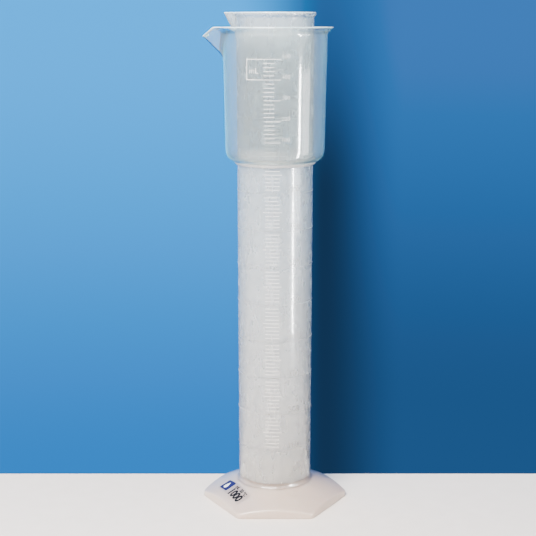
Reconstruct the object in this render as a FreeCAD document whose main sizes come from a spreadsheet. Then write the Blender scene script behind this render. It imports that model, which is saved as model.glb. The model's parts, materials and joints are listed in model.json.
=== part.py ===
"""Graduated cylinder with an overflow cup: a tall 1000 mL tube on a hexagonal foot, with a 600 mL cup
welded round its mouth to catch what runs over.

The frame has its origin on the tube's axis at the table, with +Z up. The foot's flats face -Y and +Y,
the scales face -Y, and both pouring spouts point to -X. Sizes are in millimetres.
"""

import FreeCAD, Part
import math
import os

import Sketcher
from FreeCAD import Placement, Rotation, Vector

SIZES = "Sizes"

DRIVING = {
    # tube
    "tube_base_od": 65.2,  # outside diameter, carried down to the table
    "tube_top_od": 67.4,  # outside diameter at the rim: the mould's draft widens it
    "tube_wall": 2.0,
    "tube_rim_height": 439.5,  # above the table
    "tube_floor_height": 21.0,  # inside floor, where the scale starts
    "tube_floor_thickness": 3.0,
    "tube_floor_radius": 4.0,  # inside edge of the closed end
    "skirt_depth": 6.0,  # the wall runs this far past the floor, into the foot's socket
    "bead_reach": 1.8,  # how far the rim's bead stands out
    "bead_depth": 2.4,
    # tube spout
    "lip_reach": 10.8,  # how far the spout's tip passes the wall
    "lip_drop": 22.0,  # the height in which it grows
    "lip_tip_radius": 4.0,
    "lip_half_angle": 36.0,
    # overflow cup
    "cup_underside": 310.6,  # above the table
    "cup_height": 116.5,
    "cup_base_od": 86.4,
    "cup_top_od": 90.9,  # wall's outside diameter, carried up to the rim
    "cup_wall": 1.5,
    "cup_floor_thickness": 1.6,
    "cup_corner_radius": 10.0,  # outside, between floor and wall
    "cup_hole_clearance": 0.35,  # lets the floor slide past the tube's raised marks
    "flare_reach": 5.0,  # how far the rim flares past the wall
    "flare_depth": 7.0,
    "flare_bend": 1.6,  # the wall turns outward over this far each side of the corner
    # cup spout
    "beak_tip": 63.4,  # tip's distance from the axis
    "beak_tip_drop": 7.8,  # tip's depth below the rim
    "beak_shoulder": 55.0,  # where the lip starts to dip
    "beak_drop": 26.0,  # the height in which it grows
    "beak_tip_radius": 5.0,
    "beak_half_angle": 32.0,
    # foot
    "foot_across_flats": 115.2,
    "foot_corner_radius": 7.0,
    "foot_side_height": 8.2,  # at the middle of a flat
    "foot_slope": 25.0,  # cone's angle above the table
    "foot_wall": 2.4,
    "foot_web_thickness": 2.4,  # the web that carries the tube
    "socket_clearance": 0.1,
    "gate_mark_radius": 2.5,  # what the moulding gate leaves under the web
    "gate_mark_height": 0.8,
    # welds
    "cup_bead_leg": 3.0,
    "foot_bead_leg": 4.0,
    "bead_gap": 0.05,  # keeps two raised faces from sharing one surface
    # raised scales
    "mark_relief": 0.25,
    "mark_width": 0.5,
    "mark_root": 0.4,  # how deep a mark is rooted in the wall
    "tube_scale_step": 10.0,  # mL
    "tube_scale_first": 100.0,
    "tube_scale_last": 1000.0,
    "cup_scale_step": 20.0,
    "cup_scale_first": 100.0,
    "cup_scale_last": 500.0,
    # label on the foot
    "label_length": 42.0,
    "label_width": 13.0,
    "label_radius": 44.0,  # its middle's distance from the axis
    "label_azimuth": 212.6,
    "label_turn": -6.0,  # it was stuck on a little askew
    "label_thickness": 0.12,
}

CONVEX = 0.62  # a full bead's crown, as a share of its legs
CONCAVE = 0.30  # the same for a bead that was wiped hollow
OVERRUN = 1.0  # how far a cut runs past the face that it opens
ALL_ROUND = 360.0
FRONT = 270.0  # azimuth of the face that carries the scales


def cell(alias):
    """An expression that reads one driving size."""
    return f"{SIZES}.{alias}"


def make_sheet(doc):
    """Puts the driving sizes in a spreadsheet, one alias each."""
    sheet = doc.addObject("Spreadsheet::Sheet", SIZES)
    for row, (alias, size) in enumerate(DRIVING.items(), start=1):
        sheet.set(f"A{row}", alias)
        sheet.set(f"B{row}", str(size))
        sheet.setAlias(f"B{row}", alias)
    doc.recompute()
    return sheet


def number(obj, expression):
    """The value of an expression of the document, as a plain number."""
    found = obj.evalExpression(expression)
    return float(getattr(found, "Value", found))


# Expressions that several pieces share


def tube_outside(height):
    """Radius of the tube's outer wall at a height above the table."""
    growth = f"({cell('tube_top_od')} - {cell('tube_base_od')}) / 2"
    return f"({cell('tube_base_od')} / 2 + {growth} * ({height}) / {cell('tube_rim_height')})"


def tube_inside(height):
    """Radius of the tube's bore at a height above the table."""
    return f"({tube_outside(height)} - {cell('tube_wall')})"


def cup_outside(height):
    """Radius of the cup's outer wall at a height above the table."""
    growth = f"({cell('cup_top_od')} - {cell('cup_base_od')}) / 2"
    rise = f"(({height}) - {cell('cup_underside')}) / {cell('cup_height')}"
    return f"({cell('cup_base_od')} / 2 + {growth} * {rise})"


def cone_top(radius):
    """Height of the foot's conical top at a distance from the axis."""
    fall = f"(({radius}) - {cell('foot_across_flats')} / 2) * tan({cell('foot_slope')} * 1deg)"
    return f"({cell('foot_side_height')} - {fall})"


TUBE_UNDERSIDE = f"({cell('tube_floor_height')} - {cell('tube_floor_thickness')})"
SKIRT_END = f"({TUBE_UNDERSIDE} - {cell('skirt_depth')})"
CUP_RIM = f"({cell('cup_underside')} + {cell('cup_height')})"
CUP_FLOOR = f"({cell('cup_underside')} + {cell('cup_floor_thickness')})"
CUP_HOLE = f"({tube_outside(CUP_FLOOR)} + {cell('cup_hole_clearance')})"
CUP_LEDGE = f"({cell('cup_base_od')} / 2 - {CUP_HOLE})"
CUP_CORNER = f"min({cell('cup_corner_radius')}; 1.06 * {CUP_LEDGE})"
CUP_BEAD_LEG = f"min({cell('cup_bead_leg')}; ({CUP_LEDGE} - {cell('cup_wall')}) / 2)"
SOCKET = f"({tube_outside(cell('tube_floor_height'))} + {cell('socket_clearance')})"
BOSS = f"({tube_inside(SKIRT_END)} - {cell('socket_clearance')})"
CONE_EDGE = f"({cell('foot_across_flats')} / sqrt(3) + 1)"


# Sketches and features


def plane_of(body, role):
    """One of the body's own origin planes or axes."""
    return next(f for f in body.Origin.OriginFeatures if f.Role == role)


def new_sketch(body, role, name, height=None):
    """A sketch on a plane of the body, lifted to a height if one is given."""
    sketch = body.newObject("Sketcher::SketchObject", name)
    sketch.AttachmentSupport = [(plane_of(body, role), "")]
    sketch.MapMode = "FlatFace"
    if height is not None:
        sketch.setExpression("AttachmentOffset.Base.z", height)
    return sketch


def bind_point(sketch, edge, end, x, y):
    """Ties one end of an edge to a place given by two expressions."""
    for kind, axis, expression in (("DistanceX", -2, x), ("DistanceY", -1, y)):
        if expression == "0":
            sketch.addConstraint(Sketcher.Constraint("PointOnObject", edge, end, axis))
            continue
        size = number(sketch, expression)
        found = sketch.addConstraint(Sketcher.Constraint(kind, -1, 1, edge, end, size))
        sketch.setExpression(f"Constraints[{found}]", expression)


def draw_outline(sketch, corners):
    """Closes straight edges through corners, each a pair of expressions."""
    points = [Vector(number(sketch, x), number(sketch, y), 0) for x, y in corners]
    count = len(points)
    for i in range(count):
        sketch.addGeometry(Part.LineSegment(points[i], points[(i + 1) % count]), False)
    for i in range(count):
        sketch.addConstraint(Sketcher.Constraint("Coincident", i, 2, (i + 1) % count, 1))
    for i, (x, y) in enumerate(corners):
        bind_point(sketch, i, 1, x, y)


def draw_beak(sketch, tip, tip_radius, half_angle):
    """A V with a round nose towards -X, closed inside the bore. tip is the nose's distance from the axis."""
    centre = f"-(({tip}) - ({tip_radius}))"
    sine, cosine = f"sin({half_angle} * 1deg)", f"cos({half_angle} * 1deg)"
    length = f"(0.9 * (({tip}) - ({tip_radius})) * {cosine})"
    back_x = f"({centre} - ({tip_radius}) * {sine} + ({length}) * {cosine})"
    back_y = f"(({tip_radius}) * {cosine} + ({length}) * {sine})"
    cx, radius = number(sketch, centre), number(sketch, tip_radius)
    bx, by = number(sketch, back_x), number(sketch, back_y)
    turn = math.radians(number(sketch, half_angle))
    side_x, side_y = cx - radius * math.sin(turn), radius * math.cos(turn)
    circle = Part.Circle(Vector(cx, 0, 0), Vector(0, 0, 1), radius)
    nose = sketch.addGeometry(
        Part.ArcOfCircle(circle, math.pi / 2 + turn, math.pi * 1.5 - turn), False
    )
    upper = sketch.addGeometry(
        Part.LineSegment(Vector(side_x, side_y, 0), Vector(bx, by, 0)), False
    )
    lower = sketch.addGeometry(
        Part.LineSegment(Vector(bx, -by, 0), Vector(side_x, -side_y, 0)), False
    )
    back = sketch.addGeometry(
        Part.LineSegment(Vector(bx, by, 0), Vector(bx, -by, 0)), False
    )
    sketch.addConstraint(Sketcher.Constraint("Tangent", nose, 1, upper, 1))
    sketch.addConstraint(Sketcher.Constraint("Tangent", lower, 2, nose, 2))
    sketch.addConstraint(Sketcher.Constraint("Coincident", upper, 2, back, 1))
    sketch.addConstraint(Sketcher.Constraint("Coincident", back, 2, lower, 1))
    sketch.addConstraint(Sketcher.Constraint("PointOnObject", nose, 3, -1))
    place = sketch.addConstraint(Sketcher.Constraint("DistanceX", -1, 1, nose, 3, cx))
    sketch.setExpression(f"Constraints[{place}]", centre)
    size = sketch.addConstraint(Sketcher.Constraint("Radius", nose, radius))
    sketch.setExpression(f"Constraints[{size}]", tip_radius)
    bind_point(sketch, upper, 2, back_x, back_y)
    sketch.addConstraint(Sketcher.Constraint("Symmetric", back, 1, back, 2, -1))


def turned(body, kind, name, corners):
    """A full turn of an outline in the XZ plane round the Z axis."""
    sketch = new_sketch(body, "XZ_Plane", f"{name}_outline")
    draw_outline(sketch, corners)
    feature = body.newObject(kind, name)
    feature.Profile = sketch
    feature.ReferenceAxis = (plane_of(body, "Z_Axis"), [""])
    feature.Angle = ALL_ROUND
    body.Document.recompute()
    return feature


def beak_loft(body, kind, name, high, low, tip_radius, half_angle):
    """A V-shaped beak between two heights. high and low are (height, tip) pairs."""
    sections = []
    for label, (height, tip) in (("high", high), ("low", low)):
        sketch = new_sketch(body, "XY_Plane", f"{name}_{label}", height)
        draw_beak(sketch, tip, tip_radius, half_angle)
        sections.append(sketch)
    body.Document.recompute()
    loft = body.newObject(kind, name)
    loft.Profile = sections[0]
    loft.Sections = sections[1:]
    loft.Ruled = True
    body.Document.recompute()
    return loft


def circles_at(shape, height, radius):
    """Names of the circular edges of a shape at a height and radius."""
    found = []
    for i, edge in enumerate(shape.Edges, start=1):
        curve = edge.Curve
        if not isinstance(curve, Part.Circle):
            continue
        if abs(curve.Center.z - height) < 0.05 and abs(curve.Radius - radius) < 0.05:
            found.append(f"Edge{i}")
    return found


def round_circles(body, name, places, radius):
    """Rounds the circular edges at places, each a (height, radius) pair of expressions."""
    tip = body.Tip
    edges = []
    for height, distance in places:
        edges += circles_at(tip.Shape, number(tip, height), number(tip, distance))
    feature = body.newObject("PartDesign::Fillet", name)
    feature.Base = (tip, edges)
    feature.setExpression("Radius", radius)
    body.Document.recompute()
    return feature


def new_body(doc, label):
    """An empty body for one sub-part."""
    body = doc.addObject("PartDesign::Body", label)
    body.Label = label
    doc.recompute()
    return body


# Scales


def volume_below(radius, growth, depth):
    """Volume of a tapered bore from its floor to a depth of liquid, in cubic millimetres."""
    return math.pi * (
        radius**2 * depth + radius * growth * depth**2 + growth**2 * depth**3 / 3
    )


def liquid_depth(radius, growth, volume):
    """Depth of a volume of liquid in a tapered bore, by Newton's rule."""
    depth = volume / (math.pi * radius**2)
    for _ in range(20):
        area = math.pi * (radius + growth * depth) ** 2
        depth -= (volume_below(radius, growth, depth) - volume) / area
    return depth


def raised_arc(surface_radius, height, start, sweep, sheet):
    """One raised mark: a short ring that starts inside the wall and stands out of it."""
    width = number(sheet, cell("mark_width"))
    inner = surface_radius - number(sheet, cell("mark_root"))
    outer = surface_radius + number(sheet, cell("mark_relief"))
    low = height - width / 2
    ring = Part.makeCylinder(outer, width, Vector(0, 0, low), Vector(0, 0, 1), sweep)
    core = Part.makeCylinder(inner, width, Vector(0, 0, low), Vector(0, 0, 1), ALL_ROUND)
    mark = ring.cut(core)
    mark.rotate(Vector(0, 0, 0), Vector(0, 0, 1), start)
    return mark


def scale_volumes(sheet, vessel):
    """The volumes that a vessel's scale marks, in millilitres."""
    first = number(sheet, cell(f"{vessel}_scale_first"))
    last = number(sheet, cell(f"{vessel}_scale_last"))
    step = number(sheet, cell(f"{vessel}_scale_step"))
    count = int(round((last - first) / step)) + 1
    return [first + i * step for i in range(count)]


def tube_marks(sheet):
    """The tube's scale: a short mark every 10 mL, a longer one every 50 and a ring every 100.

    Marks under the cup's welds are left out, as the weld melts them into itself.
    """
    floor = number(sheet, cell("tube_floor_height"))
    radius = number(sheet, tube_inside(cell("tube_floor_height")))
    rise = number(sheet, cell("tube_rim_height")) - floor
    growth = (number(sheet, tube_inside(cell("tube_rim_height"))) - radius) / rise
    wall = number(sheet, cell("tube_wall"))
    covered_from = number(sheet, cell("cup_underside")) - number(sheet, cell("cup_bead_leg")) - 1
    covered_to = number(sheet, CUP_FLOOR) + number(sheet, cell("cup_bead_leg")) + 1
    marks = []
    for volume in scale_volumes(sheet, "tube"):
        depth = liquid_depth(radius, growth, volume * 1000)
        if covered_from < floor + depth < covered_to:
            continue
        surface = radius + growth * depth + wall
        if round(volume) % 100 == 0:
            start, sweep = 0.0, ALL_ROUND
        elif round(volume) % 50 == 0:
            start, sweep = FRONT - 18.5, 28.0
        else:
            start, sweep = FRONT - 15.0, 21.5
        marks.append(raised_arc(surface, floor + depth, start, sweep, sheet))
    return marks


def cup_marks(sheet):
    """The cup's scale: a short mark every 20 mL and a long one every 100."""
    floor = number(sheet, CUP_FLOOR)
    wall = number(sheet, cell("cup_wall"))
    radius = number(sheet, cup_outside(CUP_FLOOR)) - wall
    growth = (number(sheet, cup_outside(CUP_RIM)) - wall - radius) / (number(sheet, CUP_RIM) - floor)
    corner = number(sheet, CUP_CORNER) - wall
    lost = (1 - math.pi / 4) * corner**2 * 2 * math.pi * (radius - corner / 5)
    marks = []
    for volume in scale_volumes(sheet, "cup"):
        depth = liquid_depth(radius, growth, volume * 1000 + lost)
        surface = radius + growth * depth + wall
        long = round(volume) % 100 == 0
        start = FRONT - 13.0
        sweep = 18.8 if long else 12.0
        marks.append(raised_arc(surface, floor + depth, start, sweep, sheet))
    return marks


def join_marks(doc, body, marks, label):
    """Fuses raised marks to the body that they are moulded with."""
    relief = doc.addObject("Part::Feature", f"{label}_marks")
    relief.Shape = Part.makeCompound(marks)
    joined = doc.addObject("Part::Fuse", label)
    joined.Base = body
    joined.Tool = relief
    joined.Label = label
    return joined


# Sub-parts


def make_tube(doc, sheet):
    """Tapered tube with a closed floor, a beaded rim, a pouring lip and its scale."""
    body = new_body(doc, "tube_moulding")
    rim = cell("tube_rim_height")
    bead_low = f"({rim} - {cell('bead_depth')})"
    bead = f"({tube_outside(rim)} + {cell('bead_reach')})"
    turned(
        body,
        "PartDesign::Revolution",
        "tube_blank",
        [
            ("0", SKIRT_END),
            (tube_outside(SKIRT_END), SKIRT_END),
            (tube_outside(f"({bead_low} - {cell('bead_reach')})"), f"({bead_low} - {cell('bead_reach')})"),
            (bead, bead_low),
            (bead, rim),
            ("0", rim),
        ],
    )
    root = f"({rim} - {cell('lip_drop')})"
    tip_high = f"({tube_outside(rim)} + {cell('lip_reach')})"
    tip_low = f"({tube_outside(root)} - 0.3)"
    beak_loft(
        body,
        "PartDesign::AdditiveLoft",
        "lip_outside",
        (rim, tip_high),
        (root, tip_low),
        cell("lip_tip_radius"),
        cell("lip_half_angle"),
    )
    turned(
        body,
        "PartDesign::Groove",
        "skirt_hollow",
        [
            ("0", SKIRT_END),
            (tube_inside(SKIRT_END), SKIRT_END),
            (tube_inside(TUBE_UNDERSIDE), TUBE_UNDERSIDE),
            ("0", TUBE_UNDERSIDE),
        ],
    )
    turned(
        body,
        "PartDesign::Groove",
        "bore",
        [
            ("0", cell("tube_floor_height")),
            (tube_inside(cell("tube_floor_height")), cell("tube_floor_height")),
            (tube_inside(rim), rim),
            (tube_inside(rim), f"({rim} + {OVERRUN})"),
            ("0", f"({rim} + {OVERRUN})"),
        ],
    )
    climb = f"({cell('lip_reach')} / {cell('lip_drop')} * {OVERRUN})"
    beak_loft(
        body,
        "PartDesign::SubtractiveLoft",
        "lip_channel",
        (f"({rim} + {OVERRUN})", f"({tip_high} - {cell('tube_wall')} + {climb})"),
        (root, f"({tip_low} - {cell('tube_wall')})"),
        f"({cell('lip_tip_radius')} - {cell('tube_wall')})",
        cell("lip_half_angle"),
    )
    floor = cell("tube_floor_height")
    round_circles(body, "floor_edge", [(floor, tube_inside(floor))], cell("tube_floor_radius"))
    return join_marks(doc, body, tube_marks(sheet), "graduated_tube")


def make_cup(doc, sheet):
    """Overflow cup: a beaker with a flared rim, a dipped spout and a hole for the tube."""
    body = new_body(doc, "cup_moulding")
    under = cell("cup_underside")
    wall = cell("cup_wall")
    bend = f"({CUP_RIM} - {cell('flare_depth')})"
    edge = f"({cup_outside(CUP_RIM)} + {cell('flare_reach')})"
    lip = f"({CUP_RIM} - {wall})"
    ease = cell("flare_bend")
    before, after = f"({bend} - {ease})", f"({bend} + {ease})"
    spread = f"({cell('flare_reach')} / ({cell('flare_depth')} - {wall}))"
    turned(
        body,
        "PartDesign::Revolution",
        "cup_blank",
        [
            ("0", under),
            (cell("cup_base_od") + " / 2", under),
            (cup_outside(before), before),
            (f"({cup_outside(bend)} + {ease} * {spread})", after),
            (edge, lip),
            (edge, CUP_RIM),
            ("0", CUP_RIM),
        ],
    )
    root = f"({CUP_RIM} - {cell('beak_drop')})"
    # The underside runs straight from the wall to the tip, and is carried on up to the rim's height.
    slope = f"(({cell('beak_tip')} - {cup_outside(root)}) / ({cell('beak_drop')} - {cell('beak_tip_drop')}))"
    tip_high = f"({cell('beak_tip')} + {cell('beak_tip_drop')} * {slope})"
    tip_low = f"({cup_outside(root)} - 0.3)"
    beak_loft(
        body,
        "PartDesign::AdditiveLoft",
        "beak_outside",
        (CUP_RIM, tip_high),
        (root, tip_low),
        cell("beak_tip_radius"),
        cell("beak_half_angle"),
    )
    turned(
        body,
        "PartDesign::Groove",
        "cup_bore",
        [
            ("0", CUP_FLOOR),
            (f"({cup_outside(CUP_FLOOR)} - {wall})", CUP_FLOOR),
            (f"({cup_outside(before)} - {wall})", f"({before} + {wall} / 2)"),
            (f"({cup_outside(bend)} - {wall} + {ease} * {spread})", f"({after} + {wall} / 2)"),
            (f"({edge} - {wall})", CUP_RIM),
            (f"({edge} - {wall})", f"({CUP_RIM} + {OVERRUN})"),
            ("0", f"({CUP_RIM} + {OVERRUN})"),
        ],
    )
    beak_loft(
        body,
        "PartDesign::SubtractiveLoft",
        "beak_channel",
        (f"({CUP_RIM} + {OVERRUN})", f"({tip_high} - {wall} + {slope} * {OVERRUN})"),
        (root, f"({tip_low} - {wall})"),
        f"({cell('beak_tip_radius')} - {wall})",
        cell("beak_half_angle"),
    )
    dip = new_sketch(body, "XZ_Plane", "beak_dip_outline")
    fall = f"({cell('beak_tip_drop')} / ({cell('beak_tip')} - {cell('beak_shoulder')}))"
    far = f"({tip_high} + 2)"
    draw_outline(
        dip,
        [
            (f"-{cell('beak_shoulder')}", CUP_RIM),
            (f"-{far}", f"({CUP_RIM} - ({far} - {cell('beak_shoulder')}) * {fall})"),
            (f"-{far}", f"({CUP_RIM} + 1)"),
            (f"-{cell('beak_shoulder')}", f"({CUP_RIM} + 1)"),
        ],
    )
    doc.recompute()
    cut = body.newObject("PartDesign::Pocket", "beak_dip")
    cut.Profile = dip
    cut.Type = "ThroughAll"
    cut.Midplane = True
    doc.recompute()
    inner = f"({cup_outside(CUP_FLOOR)} - {wall})"
    round_circles(body, "cup_corner_inside", [(CUP_FLOOR, inner)], f"{CUP_CORNER} - {wall}")
    round_circles(body, "cup_corner_outside", [(under, f"{cell('cup_base_od')} / 2")], CUP_CORNER)
    hole = new_sketch(body, "XY_Plane", "tube_hole_outline", under)
    ring = hole.addGeometry(Part.Circle(Vector(0, 0, 0), Vector(0, 0, 1), number(hole, CUP_HOLE)), False)
    hole.addConstraint(Sketcher.Constraint("Coincident", ring, 3, -1, 1))
    size = hole.addConstraint(Sketcher.Constraint("Radius", ring, number(hole, CUP_HOLE)))
    hole.setExpression(f"Constraints[{size}]", CUP_HOLE)
    doc.recompute()
    pocket = body.newObject("PartDesign::Pocket", "tube_hole")
    pocket.Profile = hole
    pocket.setExpression("Length", f"{cell('cup_floor_thickness')} + 1")
    pocket.Reversed = True
    doc.recompute()
    return join_marks(doc, body, cup_marks(sheet), "overflow_cup")


def draw_hexagon(sketch, across_flats):
    """A hexagon whose corners lie on the X axis."""
    long = f"(({across_flats}) / sqrt(3))"
    half = f"(({across_flats}) / 2)"
    corners = []
    for side_x, side_y in ((1, 0), (0.5, 1), (-0.5, 1), (-1, 0), (-0.5, -1), (0.5, -1)):
        y = "0" if side_y == 0 else f"({side_y} * {half})"
        corners.append((f"({side_x} * {long})", y))
    draw_outline(sketch, corners)


def hexagonal_block(doc, label, across_flats, corner_radius, height):
    """A hexagonal prism on the table with rounded corners."""
    body = new_body(doc, label)
    sketch = new_sketch(body, "XY_Plane", f"{label}_outline")
    draw_hexagon(sketch, across_flats)
    doc.recompute()
    pad = body.newObject("PartDesign::Pad", f"{label}_pad")
    pad.Profile = sketch
    pad.setExpression("Length", height)
    doc.recompute()
    upright = [
        f"Edge{i}"
        for i, edge in enumerate(pad.Shape.Edges, start=1)
        if edge.BoundBox.ZLength > 1 and edge.BoundBox.XLength + edge.BoundBox.YLength < 0.01
    ]
    rounding = body.newObject("PartDesign::Fillet", f"{label}_corners")
    rounding.Base = (pad, upright)
    rounding.setExpression("Radius", corner_radius)
    doc.recompute()
    return body


def make_foot(doc):
    """Hollow hexagonal foot with a conical top and a socket for the tube's closed end."""
    top = f"({cone_top('0')} + 1)"
    outside = hexagonal_block(
        doc, "foot_outside", cell("foot_across_flats"), cell("foot_corner_radius"), top
    )
    turned(
        outside,
        "PartDesign::Groove",
        "cone_and_socket",
        [
            ("0", TUBE_UNDERSIDE),
            (BOSS, TUBE_UNDERSIDE),
            (BOSS, SKIRT_END),
            (SOCKET, SKIRT_END),
            (SOCKET, cone_top(SOCKET)),
            (CONE_EDGE, cone_top(CONE_EDGE)),
            (CONE_EDGE, f"({top} + 1)"),
            ("0", f"({top} + 1)"),
        ],
    )
    wall = cell("foot_wall")
    drop = f"({wall} / cos({cell('foot_slope')} * 1deg))"
    web = f"({TUBE_UNDERSIDE} - {cell('foot_web_thickness')})"
    gutter = f"({SKIRT_END} - {cell('foot_web_thickness')})"
    hollow = hexagonal_block(
        doc,
        "foot_hollow",
        f"{cell('foot_across_flats')} - 2 * {wall}",
        f"{cell('foot_corner_radius')} - {wall}",
        top,
    )
    turned(
        hollow,
        "PartDesign::Groove",
        "hollow_roof",
        [
            ("0", web),
            (f"({BOSS} - {wall})", web),
            (f"({BOSS} - {wall})", gutter),
            (f"({SOCKET} + {wall})", gutter),
            (f"({SOCKET} + {wall})", f"({cone_top(f'({SOCKET} + {wall})')} - {drop})"),
            (CONE_EDGE, f"({cone_top(CONE_EDGE)} - {drop})"),
            (CONE_EDGE, f"({top} + 1)"),
            ("0", f"({top} + 1)"),
        ],
    )
    shell = doc.addObject("Part::Cut", "foot_shell")
    shell.Base = outside
    shell.Tool = hollow
    gate = doc.addObject("Part::Cylinder", "gate_mark")
    gate.setExpression("Radius", cell("gate_mark_radius"))
    gate.setExpression("Height", f"{cell('gate_mark_height')} + {cell('foot_web_thickness')} / 2")
    gate.setExpression("Placement.Base.z", f"{web} - {cell('gate_mark_height')}")
    foot = doc.addObject("Part::Fuse", "hexagonal_foot")
    foot.Base = shell
    foot.Tool = gate
    foot.Label = "hexagonal_foot"
    return foot


def crown(inner, outer, face, far, share):
    """The middle of a bead's free side, between its end on the face and its end on the wall."""
    return f"({inner} + ({outer} - {inner}) * {share})", f"({face} + ({far} - {face}) * {share})"


def trimmed_bead(doc, label, corners, tool):
    """A weld bead, with what would lie inside the piece that it touches cut away."""
    bead = new_body(doc, f"{label}_blank")
    turned(bead, "PartDesign::Revolution", f"{label}_bead", corners)
    trimmed = doc.addObject("Part::Cut", label)
    trimmed.Base = bead
    trimmed.Tool = tool
    trimmed.Label = label
    return trimmed


def make_cup_welds(doc, cup):
    """The beads above and below the cup's floor that seal it to the tube."""
    leg = CUP_BEAD_LEG
    gap = cell("bead_gap")
    outer = f"({CUP_HOLE} + {leg})"
    crest = f"({CUP_FLOOR} + {leg})"
    upper = [
        (f"({tube_outside(CUP_FLOOR)} + {gap})", CUP_FLOOR),
        (outer, CUP_FLOOR),
        (outer, f"({CUP_FLOOR} + {leg} / 3)"),
        crown(tube_outside(CUP_FLOOR), outer, CUP_FLOOR, crest, CONVEX),
        (f"({tube_outside(crest)} + {gap})", crest),
    ]
    under = cell("cup_underside")
    seat = f"({under} + {cell('cup_floor_thickness')} / 2)"
    foot = f"({under} - {leg})"
    lower = [
        (f"({tube_outside(seat)} + {gap})", seat),
        (outer, seat),
        (outer, under),
        crown(tube_outside(under), outer, under, foot, CONVEX),
        (f"({tube_outside(foot)} + {gap})", foot),
    ]
    return [
        trimmed_bead(doc, "cup_weld_inside", upper, cup),
        trimmed_bead(doc, "cup_weld_underside", lower, cup),
    ]


def make_foot_weld(doc):
    """The bead in the corner between the tube and the foot's cone."""
    leg = cell("foot_bead_leg")
    gap = cell("bead_gap")
    reach = f"({SOCKET} + {leg})"
    seat = cone_top(SOCKET)
    crest = f"({seat} + {leg})"
    bead = new_body(doc, "foot_weld")
    turned(
        bead,
        "PartDesign::Revolution",
        "foot_weld_bead",
        [
            (SOCKET, seat),
            (reach, cone_top(reach)),
            crown(SOCKET, reach, seat, crest, CONCAVE),
            (f"({tube_outside(crest)} + {gap})", crest),
            (f"({tube_outside(seat)} + {gap})", seat),
        ],
    )
    return bead


def make_label(doc):
    """A thin film that follows the foot's cone."""
    inner, outer = f"({SOCKET} + {cell('foot_bead_leg')} + 0.5)", f"({cell('foot_across_flats')} / 2 - 0.5)"
    lift = f"({cell('label_thickness')} / cos({cell('foot_slope')} * 1deg))"
    film = new_body(doc, "label_film")
    turned(
        film,
        "PartDesign::Revolution",
        "label_cone",
        [
            (inner, cone_top(inner)),
            (outer, cone_top(outer)),
            (outer, f"({cone_top(outer)} + {lift})"),
            (inner, f"({cone_top(inner)} + {lift})"),
        ],
    )
    blank = doc.addObject("Part::Box", "label_blank")
    blank.setExpression("Length", cell("label_width"))
    blank.setExpression("Width", cell("label_length"))
    blank.setExpression("Height", cone_top("0"))
    azimuth = f"({cell('label_azimuth')} * 1deg)"
    turn = f"(({cell('label_azimuth')} + {cell('label_turn')}) * 1deg)"
    radius = cell("label_radius")
    half_width, half_length = f"({cell('label_width')} / 2)", f"({cell('label_length')} / 2)"
    angle = number(blank, f"{cell('label_azimuth')} + {cell('label_turn')}")
    blank.Placement = Placement(Vector(0, 0, 0), Rotation(Vector(0, 0, 1), angle))
    blank.setExpression(
        "Placement.Base.x",
        f"{radius} * cos({azimuth}) - {half_width} * cos({turn}) + {half_length} * sin({turn})",
    )
    blank.setExpression(
        "Placement.Base.y",
        f"{radius} * sin({azimuth}) - {half_width} * sin({turn}) - {half_length} * cos({turn})",
    )
    label = doc.addObject("Part::Common", "foot_label")
    label.Base = film
    label.Tool = blank
    label.Label = "foot_label"
    return label


def check(doc, subparts):
    """Stops the build if an object failed or a sub-part has no valid solid."""
    for obj in doc.Objects:
        if "Invalid" in obj.State or "Error" in obj.State:
            raise RuntimeError(f"{obj.Label} failed: {obj.State}")
    for piece in subparts:
        shape = piece.Shape
        if shape.isNull() or not shape.isValid() or not shape.Solids:
            raise RuntimeError(f"{piece.Label} has no valid solid")


def main():
    doc = FreeCAD.newDocument("overflow_cylinder")
    sheet = make_sheet(doc)
    cup = make_cup(doc, sheet)
    subparts = [
        make_tube(doc, sheet),
        cup,
        make_foot(doc),
        *make_cup_welds(doc, cup.Base),
        make_foot_weld(doc),
        make_label(doc),
    ]
    doc.recompute()
    check(doc, subparts)
    os.makedirs("parts", exist_ok=True)
    for piece in subparts:
        piece.Shape.exportStep(os.path.join("parts", f"{piece.Label}.step"))
        print(f"{piece.Label}: {len(piece.Shape.Solids)} solid, {piece.Shape.Volume / 1000:.2f} cm3")


main()
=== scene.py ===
"""Looks of a graduated cylinder with an overflow cup, in milky polypropylene.

Sizes are in millimetres in the classes and become metres when a mesh is made. The frame's origin
is on the tube's axis at the table, +Z is up, the scales face -Y and both spouts point to -X.
"""

import json
import logging
import math
from dataclasses import dataclass
from enum import Enum
from typing import Callable, Iterable, Optional, Sequence, Union

import bpy
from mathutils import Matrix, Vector, noise

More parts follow.
